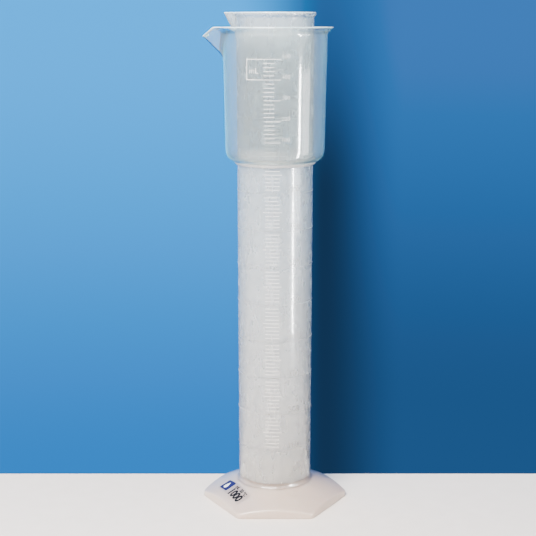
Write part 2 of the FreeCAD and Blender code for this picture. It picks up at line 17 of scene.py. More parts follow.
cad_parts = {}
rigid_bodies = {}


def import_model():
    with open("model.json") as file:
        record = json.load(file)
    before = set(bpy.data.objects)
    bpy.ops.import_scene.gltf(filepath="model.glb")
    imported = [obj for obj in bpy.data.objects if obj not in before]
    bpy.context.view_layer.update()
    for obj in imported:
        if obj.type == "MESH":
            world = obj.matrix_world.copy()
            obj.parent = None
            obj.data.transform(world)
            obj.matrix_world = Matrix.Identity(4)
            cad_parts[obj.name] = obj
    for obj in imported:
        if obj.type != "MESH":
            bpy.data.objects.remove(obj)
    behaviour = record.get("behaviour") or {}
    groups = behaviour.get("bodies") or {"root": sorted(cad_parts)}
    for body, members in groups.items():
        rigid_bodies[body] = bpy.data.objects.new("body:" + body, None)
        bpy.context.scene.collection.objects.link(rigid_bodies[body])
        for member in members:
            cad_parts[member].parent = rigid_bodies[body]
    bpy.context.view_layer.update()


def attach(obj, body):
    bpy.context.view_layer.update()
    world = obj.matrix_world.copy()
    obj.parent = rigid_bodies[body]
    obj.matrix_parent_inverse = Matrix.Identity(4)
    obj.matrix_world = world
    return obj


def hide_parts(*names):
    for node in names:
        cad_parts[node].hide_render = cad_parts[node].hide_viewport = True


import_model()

MM = 0.001
FRONT = math.radians(270.0)
SPOUT = math.pi
ROOT = 0.1  # how deep the back of a raised mark is let into the wall
STAYS_COOL = {"warm_from": -1.0, "warm_to": -2.0}  # for a finish with no warm foot end

Point = tuple[float, float, float]
Profile = list[tuple[float, float]]
Colour = tuple[float, float, float]
Face = tuple[int, ...]
Shape = tuple[list[Point], list[Face]]
Socket = bpy.types.NodeSocket
Value = Union[Socket, float, Colour]

log = logging.getLogger("overflow_cylinder")


class Slot(Enum):
    """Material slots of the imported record."""

    TUBE = "tube_plastic"
    CUP = "cup_plastic"
    FOOT = "foot_plastic"
    WELD = "weld_plastic"
    LABEL = "label_film"


# Node trees


class NodeMaker:
    """A node tree with short ways to add and join nodes."""

    def __init__(self, tree: bpy.types.NodeTree) -> None:
        """Takes the tree to work on."""
        self.tree = tree

    def node(self, kind: str, **settings: object) -> bpy.types.Node:
        """Adds a node.

        Args:
            kind: The node's type name.
            **settings: Properties to set on it.

        Returns:
            The node.
        """
        made = self.tree.nodes.new(kind)
        for key, value in settings.items():
            setattr(made, key, value)
        return made

    def join(self, source: Socket, target: Socket) -> None:
        """Links two sockets."""
        self.tree.links.new(source, target)

    def math(self, kind: str, a: Value, b: Value = 0.0) -> Socket:
        """A math node of two values.

        Args:
            kind: The operation.
            a: First value, a socket or a number.
            b: Second value, a socket or a number.

        Returns:
            The result.
        """
        made = self.node("ShaderNodeMath", operation=kind)
        for socket, value in zip(made.inputs, (a, b)):
            if isinstance(value, (int, float)):
                socket.default_value = value
            else:
                self.join(value, socket)
        return made.outputs[0]

    def tint(self, factor: Socket, a: Value, b: Value) -> Socket:
        """Mixes two colours.

        Args:
            factor: 0 gives a and 1 gives b.
            a: A colour or a socket.
            b: A colour or a socket.

        Returns:
            The mixed colour.
        """
        made = self.node("ShaderNodeMix", data_type="RGBA")
        self.join(factor, made.inputs["Factor"])
        for socket, value in ((made.inputs[6], a), (made.inputs[7], b)):
            if isinstance(value, Socket):
                self.join(value, socket)
            else:
                socket.default_value = (*value, 1.0)
        return made.outputs[2]


class ShaderTree(NodeMaker):
    """A new material's node tree, with its patterns in object coordinates."""

    def __init__(self, name: str) -> None:
        """Makes an empty material with an output node.

        Args:
            name: Its name.
        """
        self.material = bpy.data.materials.new(name)
        self.material.use_nodes = True
        super().__init__(self.material.node_tree)
        self.tree.nodes.clear()
        self.output = self.node("ShaderNodeOutputMaterial")
        self.place = self.node("ShaderNodeTexCoord").outputs["Object"]

    def stretched(self, scale: Sequence[float]) -> Socket:
        """Object coordinates with each axis scaled.

        Args:
            scale: Scale along X, Y and Z.

        Returns:
            The scaled coordinates.
        """
        mapping = self.node("ShaderNodeMapping")
        mapping.inputs["Scale"].default_value = scale
        self.join(self.place, mapping.inputs["Vector"])
        return mapping.outputs["Vector"]

    def noise(
        self, scale: float, detail: float = 3.0, stretch: Sequence[float] = (1, 1, 1)
    ) -> Socket:
        """A noise pattern over the piece.

        Args:
            scale: Waves per metre.
            detail: Octaves.
            stretch: Scale of each axis before the pattern.

        Returns:
            The pattern, from 0 to 1.
        """
        made = self.node("ShaderNodeTexNoise")
        made.inputs["Scale"].default_value = scale
        made.inputs["Detail"].default_value = detail
        self.join(self.stretched(stretch), made.inputs["Vector"])
        return made.outputs["Fac"]

    def ramp(self, source: Socket, low: float, high: float, start: float, end: float) -> Socket:
        """Maps a range of a value onto another, clamped.

        Args:
            source: The value.
            low: Value that gives start.
            high: Value that gives end.
            start: Result at low.
            end: Result at high.

        Returns:
            The mapped value.
        """
        made = self.node("ShaderNodeMapRange")
        made.inputs["From Min"].default_value = low
        made.inputs["From Max"].default_value = high
        made.inputs["To Min"].default_value = start
        made.inputs["To Max"].default_value = end
        self.join(source, made.inputs["Value"])
        return made.outputs["Result"]

    def bump(self, height: Socket, depth: float, under: Optional[Socket] = None) -> Socket:
        """Adds relief to the surface normal.

        Args:
            height: Relief from 0 to 1.
            depth: Relief in metres.
            under: A normal to add to.

        Returns:
            The new normal.
        """
        made = self.node("ShaderNodeBump")
        made.inputs["Distance"].default_value = depth
        made.inputs["Strength"].default_value = 1.0
        self.join(height, made.inputs["Height"])
        if under is not None:
            self.join(under, made.inputs["Normal"])
        return made.outputs["Normal"]

    def surface(self, shader: bpy.types.Node) -> bpy.types.Material:
        """Makes a shader the material's surface.

        Args:
            shader: The finished shader node.

        Returns:
            The material.
        """
        self.join(shader.outputs[0], self.output.inputs["Surface"])
        return self.material


@dataclass(frozen=True)
class MilkyPlastic:
    """Natural polypropylene: light passes through it but no clear picture does."""

    name: str
    colour: Colour = (0.90, 0.92, 0.92)
    # Going from warm_from to warm_to the colour turns to warm_colour, warmer and darker: on the
    # tube and its marks this is painted warm shade towards the table; the foot and label film lie
    # wholly in their warm end.
    warm_colour: Colour = (0.86, 0.80, 0.72)
    warm_from: float = 0.30  # height where it is cool, in metres
    warm_to: float = 0.0  # height where it is warm
    clearness: float = 0.6  # share of light that passes on through the wall
    haze: float = 0.3  # how far that light is scattered
    glow: float = 0.8  # share of the rest that spreads inside the wall
    glow_depth: float = 0.008
    skin_gloss: float = 0.8  # strength of the smooth moulded skin's reflection
    skin_roughness: float = 0.09
    grain_depth: float = 0.000004
    waviness: float = 0.00004
    scuffs: float = 0.06
    edge_bloom: float = 0.0  # strength of the cool sheen where the wall turns away

    def build(self) -> bpy.types.Material:
        """Makes the material.

        Returns:
            The material, with cloudiness, a fine mould grain, draw lines and scuffs.
        """
        tree = ShaderTree(self.name)
        shader = tree.node("ShaderNodeBsdfPrincipled")
        split = tree.node("ShaderNodeSeparateXYZ")
        tree.join(tree.place, split.inputs["Vector"])
        # On the tube this ramp is painted warm shade, warmer and darker lower down.
        warmth = tree.ramp(split.outputs["Z"], self.warm_from, self.warm_to, 0.0, 1.0)
        base = tree.tint(warmth, self.colour, self.warm_colour)
        cloud = tree.ramp(tree.noise(38.0, 4.0, (1, 1, 0.35)), 0.3, 0.7, 0.0, 0.6)
        dull = tree.tint(
            warmth, tuple(0.93 * c for c in self.colour), tuple(0.93 * c for c in self.warm_colour)
        )
        cloudy = tree.tint(cloud, base, dull)
        fleck = tree.ramp(tree.noise(420.0, 2.0), 0.62, 0.74, 0.0, 0.35)
        tree.join(tree.tint(fleck, cloudy, (0.96, 0.96, 0.95)), shader.inputs["Base Color"])
        drawn = tree.noise(260.0, 2.0, (1, 1, 0.02))
        rubbed = tree.ramp(tree.noise(120.0, 5.0, (1, 1, 0.5)), 0.50, 0.72, 0.0, self.scuffs)
        streaked = tree.ramp(drawn, 0.3, 0.7, self.haze - 0.01, self.haze + 0.01)
        tree.join(tree.math("ADD", streaked, rubbed), shader.inputs["Roughness"])
        grain = tree.bump(tree.noise(700.0, 2.0), self.grain_depth)
        waves = tree.bump(tree.noise(30.0, 1.0, (1, 1, 0.4)), self.waviness, grain)
        tree.join(waves, shader.inputs["Normal"])
        tree.join(waves, shader.inputs["Coat Normal"])
        shader.inputs["Coat Weight"].default_value = self.skin_gloss
        shader.inputs["Coat Roughness"].default_value = self.skin_roughness
        shader.inputs["Coat IOR"].default_value = 1.49
        shader.inputs["IOR"].default_value = 1.49
        shader.inputs["Transmission Weight"].default_value = self.clearness
        shader.inputs["Subsurface Weight"].default_value = self.glow
        shader.inputs["Subsurface Radius"].default_value = (1.0, 1.0, 1.0)
        shader.inputs["Subsurface Scale"].default_value = self.glow_depth
        shader.inputs["Sheen Weight"].default_value = self.edge_bloom
        shader.inputs["Sheen Roughness"].default_value = 0.4
        shader.inputs["Sheen Tint"].default_value = (0.25, 0.95, 1.0, 1.0)
        return tree.surface(shader)


@dataclass(frozen=True)
class PrintedFilm:
    """A printed or plain layer of the label."""

    name: str
    colour: Colour
    worn_colour: Colour
    roughness: float = 0.5

    def build(self) -> bpy.types.Material:
        """Makes the material.

        Returns:
            The material, with thin spots in the ink and fine surface grain.
        """
        tree = ShaderTree(self.name)
        shader = tree.node("ShaderNodeBsdfPrincipled")
        thin = tree.ramp(tree.noise(700.0, 4.0), 0.55, 0.75, 0.0, 0.55)
        tree.join(tree.tint(thin, self.colour, self.worn_colour), shader.inputs["Base Color"])
        grain = tree.noise(2500.0, 2.0)
        tree.join(
            tree.ramp(grain, 0.3, 0.7, self.roughness - 0.06, self.roughness + 0.08),
            shader.inputs["Roughness"],
        )
        tree.join(tree.bump(grain, 0.000005), shader.inputs["Normal"])
        shader.inputs["Specular IOR Level"].default_value = 0.15
        return tree.surface(shader)


# Mesh helpers


def polar(radius: float, azimuth: float, height: float) -> Point:
    """A point given by its distance from the axis, azimuth and height."""
    return (radius * math.cos(azimuth), radius * math.sin(azimuth), height)


def off_spout(azimuth: float) -> float:
    """How far a direction turns away from the spouts, in radians."""
    return abs((azimuth - SPOUT + math.pi) % (2 * math.pi) - math.pi)


def make_piece(
    name: str,
    points: Iterable[Point],
    faces: Iterable[Sequence[int]],
    material: bpy.types.Material,
    crease: float = 40.0,
) -> bpy.types.Object:
    """Makes an object at the origin from points in millimetres.

    Args:
        name: The object's name.
        points: Corners in millimetres.
        faces: Corner numbers of each face.
        material: Its finish.
        crease: Angle past which an edge stays sharp, in degrees.

    Returns:
        The object.
    """
    mesh = bpy.data.meshes.new(name)
    mesh.from_pydata([tuple(c * MM for c in p) for p in points], [], list(faces))
    mesh.polygons.foreach_set("use_smooth", [True] * len(mesh.polygons))
    mesh.materials.append(material)
    mesh.set_sharp_from_angle(angle=math.radians(crease))
    mesh.validate()
    made = bpy.data.objects.new(name, mesh)
    bpy.context.scene.collection.objects.link(made)
    return made


def edge_finish(
    obj: bpy.types.Object, finish: bpy.types.Material, is_edge: Callable[[Vector], bool]
) -> None:
    """Gives some faces of a piece a second finish.

    Args:
        obj: The piece.
        finish: The second finish.
        is_edge: Tells by a face's middle, in millimetres, whether it takes it.
    """
    obj.data.materials.append(finish)
    place = len(obj.data.materials) - 1
    for face in obj.data.polygons:
        if is_edge(face.center / MM):
            face.material_index = place


def skin(rows: Sequence[Sequence[Point]], looped: bool) -> Shape:
    """Joins rings of points into a closed surface.

    Args:
        rows: Rings of one length each. A ring of one point is a pole.
        looped: Joins the last ring to the first.

    Returns:
        The points and the faces, facing outwards when the rings run up the outside and down
        the inside.
    """
    points: list[Point] = []
    starts: list[int] = []
    for row in rows:
        starts.append(len(points))
        points.extend(row)
    faces: list[Face] = []
    pairs = list(zip(range(len(rows) - 1), range(1, len(rows))))
    if looped:
        pairs.append((len(rows) - 1, 0))
    for low, high in pairs:
        width = max(len(rows[low]), len(rows[high]))
        for i in range(width):
            j = (i + 1) % width
            a, b = starts[low] + i, starts[low] + j
            c, d = starts[high] + j, starts[high] + i
            if len(rows[low]) == 1:
                faces.append((starts[low], c, d))
            elif len(rows[high]) == 1:
                faces.append((a, b, starts[high]))
            else:
                faces.append((a, b, c, d))
    return points, faces


def azimuths(base: int, extra: int, spread: float) -> list[float]:
    """Azimuths round the axis, closer together near the spouts.

    Args:
        base: Steps round the whole turn.
        extra: How many times closer they are near the spout.
        spread: Half of the crowded arc, in degrees.

    Returns:
        Rising azimuths in radians.
    """
    found: list[float] = []
    step = 360.0 / base
    at = 0.0
    while at < 360.0 - 1e-6:
        found.append(math.radians(at))
        at += step / extra if abs(at + step / 2 - 180.0) < spread else step
    return found


def arc(
    centre: tuple[float, float], radius: float, start: float, end: float, steps: int
) -> Profile:
    """Points on an arc in the radius and height plane.

    Args:
        centre: The arc's centre.
        radius: Its radius.
        start: Angle of its first point, in degrees.
        end: Angle of its last point.
        steps: Number of chords.

    Returns:
        The points, ends included.
    """
    found: Profile = []
    for i in range(steps + 1):
        turn = math.radians(start + (end - start) * i / steps)
        found.append((centre[0] + radius * math.cos(turn), centre[1] + radius * math.sin(turn)))
    return found


def smooth_max(a: float, b: float, blend: float) -> float:
    """The larger of two values, with a soft change between them."""
    share = max(blend - abs(a - b), 0.0) / blend
    return max(a, b) + share * share * blend * 0.25


@dataclass(frozen=True)
class Beak:
    """A V-shaped spout towards -X whose nose leans outwards as it rises."""

    root_height: float
    root_reach: float
    lean: float
    nose_radius: float
    half_angle: float
    blend: float

    def reach(self, azimuth: float, height: float, inset: float) -> float:
        """Distance from the axis to the spout's surface.

        Args:
            azimuth: Direction, in radians.
            height: Height above the table.
            inset: How far inside the outer surface it is measured.

        Returns:
            The distance, or 0 where there is no spout.
        """
        if height < self.root_height - 2.0:
            return 0.0
        turn = off_spout(azimuth)
        alpha = math.radians(self.half_angle)
        tip = self.root_reach + self.lean * (height - self.root_height)
        centre = tip - self.nose_radius
        nose = self.nose_radius - inset
        edge = math.atan2(nose * math.cos(alpha), centre + nose * math.sin(alpha))
        if turn <= edge:
            inner = max(nose**2 - (centre * math.sin(turn)) ** 2, 0.0)
            return centre * math.cos(turn) + math.sqrt(inner)
        facing = math.cos(turn - (math.pi / 2 - alpha))
        return (centre * math.sin(alpha) + nose) / facing if facing > 0.2 and turn < 1.2 else 0.0


# Scales


class ScaleTree(NodeMaker):
    """Geometry nodes that raise marks on a tapered wall, each at the height its volume fills to."""

    INPUTS = {
        "Int": ("Marks", "Segments"),
        "Float": (
            *("First volume", "Volume step", "Lost volume", "Bore radius", "Draft", "Wall"),
            *("Floor height", "Arc start", "Arc sweep", "Long every", "Long start", "Long sweep"),
            *("Skip every", "Hidden from", "Hidden to", "Relief", "Root", "Width"),
        ),
        "Material": ("Finish",),
    }
    CREST_LOSS = 0.35  # share of a ridge's width that is gone at its crest

    def __init__(self) -> None:
        """Builds the tree once, for every scale to share."""
        super().__init__(bpy.data.node_groups.new("raised_scale", "GeometryNodeTree"))
        add = self.tree.interface.new_socket
        add("Geometry", in_out="OUTPUT", socket_type="NodeSocketGeometry")
        self.ids: dict[str, str] = {}
        for kind, names in self.INPUTS.items():
            for name in names:
                socket = add(name, in_out="INPUT", socket_type=f"NodeSocket{kind}")
                self.ids[name] = socket.identifier
        self.given = self.node("NodeGroupInput").outputs
        self._wire()

    def _choose(self, switch: Socket, no: object, yes: object) -> Socket:
        """One of two values by a switch of 0 or 1."""
        return self.math(
            "ADD",
            self.math("MULTIPLY", switch, yes),
            self.math("MULTIPLY", self.math("SUBTRACT", 1.0, switch), no),
        )

    def _is_multiple(self, index: Socket, every: Socket) -> Socket:
        """1 where an index is a multiple of a number, else 0, and always 0 for a number of 0."""
        whole = self.math(
            "LESS_THAN", self.math("MODULO", index, self.math("MAXIMUM", every, 1.0)), 0.5
        )
        return self.math("MULTIPLY", whole, self.math("GREATER_THAN", every, 0.5))

    def _store(self, geometry: Socket, name: str, value: Socket) -> Socket:
        """Keeps a value on each point under a name.

        Args:
            geometry: The points.
            name: The name.
            value: The value.

        Returns:
            The points with the value.
        """
        made = self.node("GeometryNodeStoreNamedAttribute", data_type="FLOAT", domain="POINT")
        made.inputs["Name"].default_value = name
        self.tree.links.new(geometry, made.inputs["Geometry"])
        self.tree.links.new(value, made.inputs["Value"])
        return made.outputs[0]

    def _recall(self, name: str) -> Socket:
        """Reads a value kept under a name.

        Args:
            name: The name.

        Returns:
            The value on each point.
        """
        made = self.node("GeometryNodeInputNamedAttribute", data_type="FLOAT")
        made.inputs["Name"].default_value = name
        return made.outputs["Attribute"]

    def _wire(self) -> None:
        """Places one bar for each mark, then bends each bar round the wall at its height."""
        link, given = self.tree.links.new, self.given
        line = self.node("GeometryNodeMeshLine")
        link(given["Marks"], line.inputs["Count"])
        index = self.node("GeometryNodeInputIndex").outputs[0]
        volume = self.math(
            "ADD", given["First volume"], self.math("MULTIPLY", index, given["Volume step"])
        )
        volume = self.math("ADD", volume, given["Lost volume"])
        # A cone frustum's height from its volume, in closed form.
        draft = given["Draft"]
        grown = self.math(
            "DIVIDE", self.math("MULTIPLY", self.math("MULTIPLY", volume, 3.0), draft), math.pi
        )
        cubed = self.math("ADD", self.math("POWER", given["Bore radius"], 3.0), grown)
        radius = self.math("POWER", cubed, 1.0 / 3.0)
        depth = self.math("DIVIDE", self.math("SUBTRACT", radius, given["Bore radius"]), draft)
        height = self.math("ADD", depth, given["Floor height"])
        long = self._is_multiple(index, given["Long every"])
        points = line.outputs["Mesh"]
        points = self._store(points, "mark_radius", self.math("ADD", radius, given["Wall"]))
        points = self._store(points, "mark_height", height)
        points = self._store(
            points, "mark_start", self._choose(long, given["Arc start"], given["Long start"])
        )
        points = self._store(
            points, "mark_sweep", self._choose(long, given["Arc sweep"], given["Long sweep"])
        )
        covered = self.math(
            "MULTIPLY",
            self.math("GREATER_THAN", height, given["Hidden from"]),
            self.math("LESS_THAN", height, given["Hidden to"]),
        )
        gone = self.math("MAXIMUM", covered, self._is_multiple(index, given["Skip every"]))
        bar = self.node("GeometryNodeMeshCube")
        link(given["Segments"], bar.inputs["Vertices X"])
        bar.inputs["Size"].default_value = (1.0, 1.0, 1.0)
        place = self.node("GeometryNodeInstanceOnPoints")
        link(points, place.inputs["Points"])
        link(self.math("SUBTRACT", 1.0, gone), place.inputs["Selection"])
        # The bars are stacked at the line's points, so the bend uses the bar's own coordinates.
        own = self.node("GeometryNodeStoreNamedAttribute", data_type="FLOAT_VECTOR", domain="POINT")
        own.inputs["Name"].default_value = "bar_place"
        link(bar.outputs["Mesh"], own.inputs["Geometry"])
        link(self.node("GeometryNodeInputPosition").outputs[0], own.inputs["Value"])
        link(own.outputs[0], place.inputs["Instance"])
        real = self.node("GeometryNodeRealizeInstances")
        link(place.outputs["Instances"], real.inputs["Geometry"])
        bar_place = self.node("GeometryNodeInputNamedAttribute", data_type="FLOAT_VECTOR")
        bar_place.inputs["Name"].default_value = "bar_place"
        split = self.node("ShaderNodeSeparateXYZ")
        link(bar_place.outputs["Attribute"], split.inputs[0])
        along = self.math("ADD", split.outputs["X"], 0.5)
        out = self.math("SUBTRACT", 0.5, split.outputs["Y"])
        azimuth = self.math(
            "ADD",
            self._recall("mark_start"),
            self.math("MULTIPLY", along, self._recall("mark_sweep")),
        )
        thickness = self.math("ADD", given["Relief"], given["Root"])
        reach = self.math("SUBTRACT", self._recall("mark_radius"), given["Root"])
        reach = self.math("ADD", reach, self.math("MULTIPLY", out, thickness))
        # The ridge narrows towards its crest.
        narrow = self.math("SUBTRACT", 1.0, self.math("MULTIPLY", out, self.CREST_LOSS))
        rise = self.math(
            "MULTIPLY", self.math("MULTIPLY", split.outputs["Z"], narrow), given["Width"]
        )
        join = self.node("ShaderNodeCombineXYZ")
        link(self.math("MULTIPLY", reach, self.math("COSINE", azimuth)), join.inputs["X"])
        link(self.math("MULTIPLY", reach, self.math("SINE", azimuth)), join.inputs["Y"])
        link(self.math("ADD", self._recall("mark_height"), rise), join.inputs["Z"])
        bend = self.node("GeometryNodeSetPosition")
        link(real.outputs[0], bend.inputs["Geometry"])
        link(join.outputs[0], bend.inputs["Position"])
        finish = self.node("GeometryNodeSetMaterial")
        link(bend.outputs[0], finish.inputs["Geometry"])
        link(given["Finish"], finish.inputs["Material"])
        link(finish.outputs[0], self.node("NodeGroupOutput").inputs[0])

    def grow(self, name: str, values: dict[str, object]) -> bpy.types.Object:
        """Runs the tree and keeps its result as a plain mesh.

        Args:
            name: The new object's name.
            values: A value for each input.

        Returns:
            The object.
        """
        holder = bpy.data.objects.new(f"{name}_nodes", bpy.data.meshes.new(f"{name}_nodes"))
        bpy.context.scene.collection.objects.link(holder)
        modifier = holder.modifiers.new("scale", "NODES")
        modifier.node_group = self.tree
        for key, value in values.items():
            modifier[self.ids[key]] = value
        holder.update_tag()
        shown = holder.evaluated_get(bpy.context.evaluated_depsgraph_get())
        mesh = bpy.data.meshes.new_from_object(shown)
        mesh.name = name
        for spare in [a.name for a in mesh.attributes if a.name.startswith(("mark_", "bar_"))]:
            mesh.attributes.remove(mesh.attributes[spare])
        bpy.data.objects.remove(holder)
        made = bpy.data.objects.new(name, mesh)
        bpy.context.scene.collection.objects.link(made)
        return made


FIGURE_SHARE = 0.69  # a figure's height as a share of the lettering's size


def flat_text(words: str, size: float, relief: float, bold: float = 0.0) -> Shape:
    """Raised lettering lying in the XY plane, centred on X and standing on Y = 0.

    Args:
        words: What it says.
        size: Height of a figure, in millimetres.
        relief: Thickness.
        bold: How far the strokes are fattened.

    Returns:
        Points in millimetres, and faces.
    """
    curve = bpy.data.curves.new("lettering", "FONT")
    curve.body = words
    curve.size = size / FIGURE_SHARE
    curve.extrude = relief / 2
    curve.offset = bold
    curve.align_x = "CENTER"
    curve.resolution_u = 4
    holder = bpy.data.objects.new("lettering", curve)
    bpy.context.scene.collection.objects.link(holder)
    mesh = bpy.data.meshes.new_from_object(
        holder.evaluated_get(bpy.context.evaluated_depsgraph_get())
    )
    # The fronts and sides come apart, so corners at one place are joined.
    kept: dict[tuple[float, float, float], int] = {}
    joined = [
        kept.setdefault((round(v.co.x, 4), round(v.co.y, 4), round(v.co.z, 4)), len(kept))
        for v in mesh.vertices
    ]
    points = [(x, y, z + relief / 2) for x, y, z in kept]
    faces = [
        f
        for f in (
            tuple(dict.fromkeys(joined[i] for i in p.vertices)) for p in mesh.polygons
        ) if len(f) > 2
    ]
    bpy.data.objects.remove(holder)
    bpy.data.meshes.remove(mesh)
    return points, faces


def flat_bar(left: float, bottom: float, right: float, top: float, relief: float) -> Shape:
    """A raised bar lying in the XY plane, split along X so that it can be bent.

    Args:
        left: Lowest x, in millimetres.
        bottom: Lowest y.
        right: Highest x.
        top: Highest y.
        relief: Thickness.

    Returns:
        Points in millimetres, and faces.
    """
    spans = max(1, round((right - left) / 1.5))
    points: list[Point] = []
    for i in range(spans + 1):
        x = left + (right - left) * i / spans
        points += [(x, bottom, 0.0), (x, bottom, relief), (x, top, relief), (x, top, 0.0)]
    faces: list[Face] = [(0, 1, 2, 3), tuple(4 * spans + k for k in (3, 2, 1, 0))]
    for i in range(spans):
        for k in range(4):
            near, far = 4 * i, 4 * i + 4
            faces.append((near + k, far + k, far + (k + 1) % 4, near + (k + 1) % 4))
    return points, faces


def gathered(parts: Iterable[Shape]) -> Shape:
    """Puts several meshes together.

    Args:
        parts: Points and faces of each.

    Returns:
        One list of points and one of faces.
    """
    points: list[Point] = []
    faces: list[Face] = []
    for some_points, some_faces in parts:
        start = len(points)
        points.extend(some_points)
        faces.extend(tuple(i + start for i in face) for face in some_faces)
    return points, faces


@dataclass(frozen=True)
class MarkRun:
    """A run of raised marks at even steps of volume."""

    name: str
    count: int
    first: float  # volume of the lowest mark, in mL
    step: float  # volume from mark to mark
    arc: tuple[float, float]  # where a short mark starts, left of the front, and its sweep
    long_arc: tuple[float, float]
    long_every: float
    skip_every: float = 0.0
    relief: float = 0.25
    width: float = 0.55
    segments: int = 12
    hidden: tuple[float, float] = (1000.0, 1000.0)  # heights between which no mark stands


@dataclass
class TaperedBore:
    """The inside of a vessel whose wall widens evenly, and the surface that its scale stands on."""

    floor: float
    radius: float  # inside radius at the floor
    draft: float  # growth of the radius for each millimetre of height
    wall: float
    lost: float = 0.0  # mL that the rounded floor takes away

    def outside(self, height: float) -> float:
        """Radius of the outer wall at a height."""
        return self.radius + self.wall + self.draft * (height - self.floor)

    def level(self, millilitres: float) -> float:
        """Height that a volume fills to."""
        cubed = self.radius**3 + 3 * self.draft * (millilitres + self.lost) * 1000 / math.pi
        return self.floor + (cubed ** (1 / 3) - self.radius) / self.draft

    def raise_marks(
        self, tree: ScaleTree, run: MarkRun, finish: bpy.types.Material
    ) -> bpy.types.Object:
        """Grows a run of marks on the wall.

        Args:
            tree: The scale's nodes.
            run: The marks.
            finish: Their material.

        Returns:
            The marks as one piece.
        """
        values = {
            "Lost volume": self.lost * 1e-6,
            "Bore radius": self.radius * MM,
            "Draft": self.draft,
            "Wall": self.wall * MM,
            "Floor height": self.floor * MM,
            "Marks": run.count,
            "First volume": run.first * 1e-6,
            "Volume step": run.step * 1e-6,
            "Arc start": FRONT - math.radians(run.arc[0]),
            "Arc sweep": math.radians(run.arc[1]),
            "Long every": run.long_every,
            "Long start": FRONT - math.radians(run.long_arc[0]),
            "Long sweep": math.radians(run.long_arc[1]),
            "Skip every": run.skip_every,
            "Hidden from": run.hidden[0] * MM,
            "Hidden to": run.hidden[1] * MM,
            "Relief": run.relief * MM,
            "Root": ROOT * MM,
            "Width": run.width * MM,
            "Segments": run.segments,
            "Finish": finish,
        }
        return tree.grow(run.name, values)

    def wrap(self, flat: Shape, turn: float, height: float) -> Shape:
        """Bends a flat shape round the wall, its back let into it.

        Args:
            flat: The shape, lying in the XY plane.
            turn: Where its middle goes, in degrees to the right of the front.
            height: Where its foot goes.

        Returns:
            The bent shape.
        """
        azimuth = math.radians(math.degrees(FRONT) + turn)
        bent: list[Point] = []
        for x, y, z in flat[0]:
            radius = self.outside(height + y) - ROOT
            bent.append(polar(radius + z, azimuth + x / radius, height + y))
        return bent, flat[1]


def settle(obj: bpy.types.Object, slot: Slot, *nodes: str) -> None:
    """Fixes a finished piece to the part.

    Args:
        obj: The piece.
        slot: Its material slot, not used.
        *nodes: The design pieces that it stands for.
    """
    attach(obj, "root")
    if nodes:
        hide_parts(*nodes)
    log.info("%s: %d faces", obj.name, len(obj.data.polygons))


# Sub-assemblies


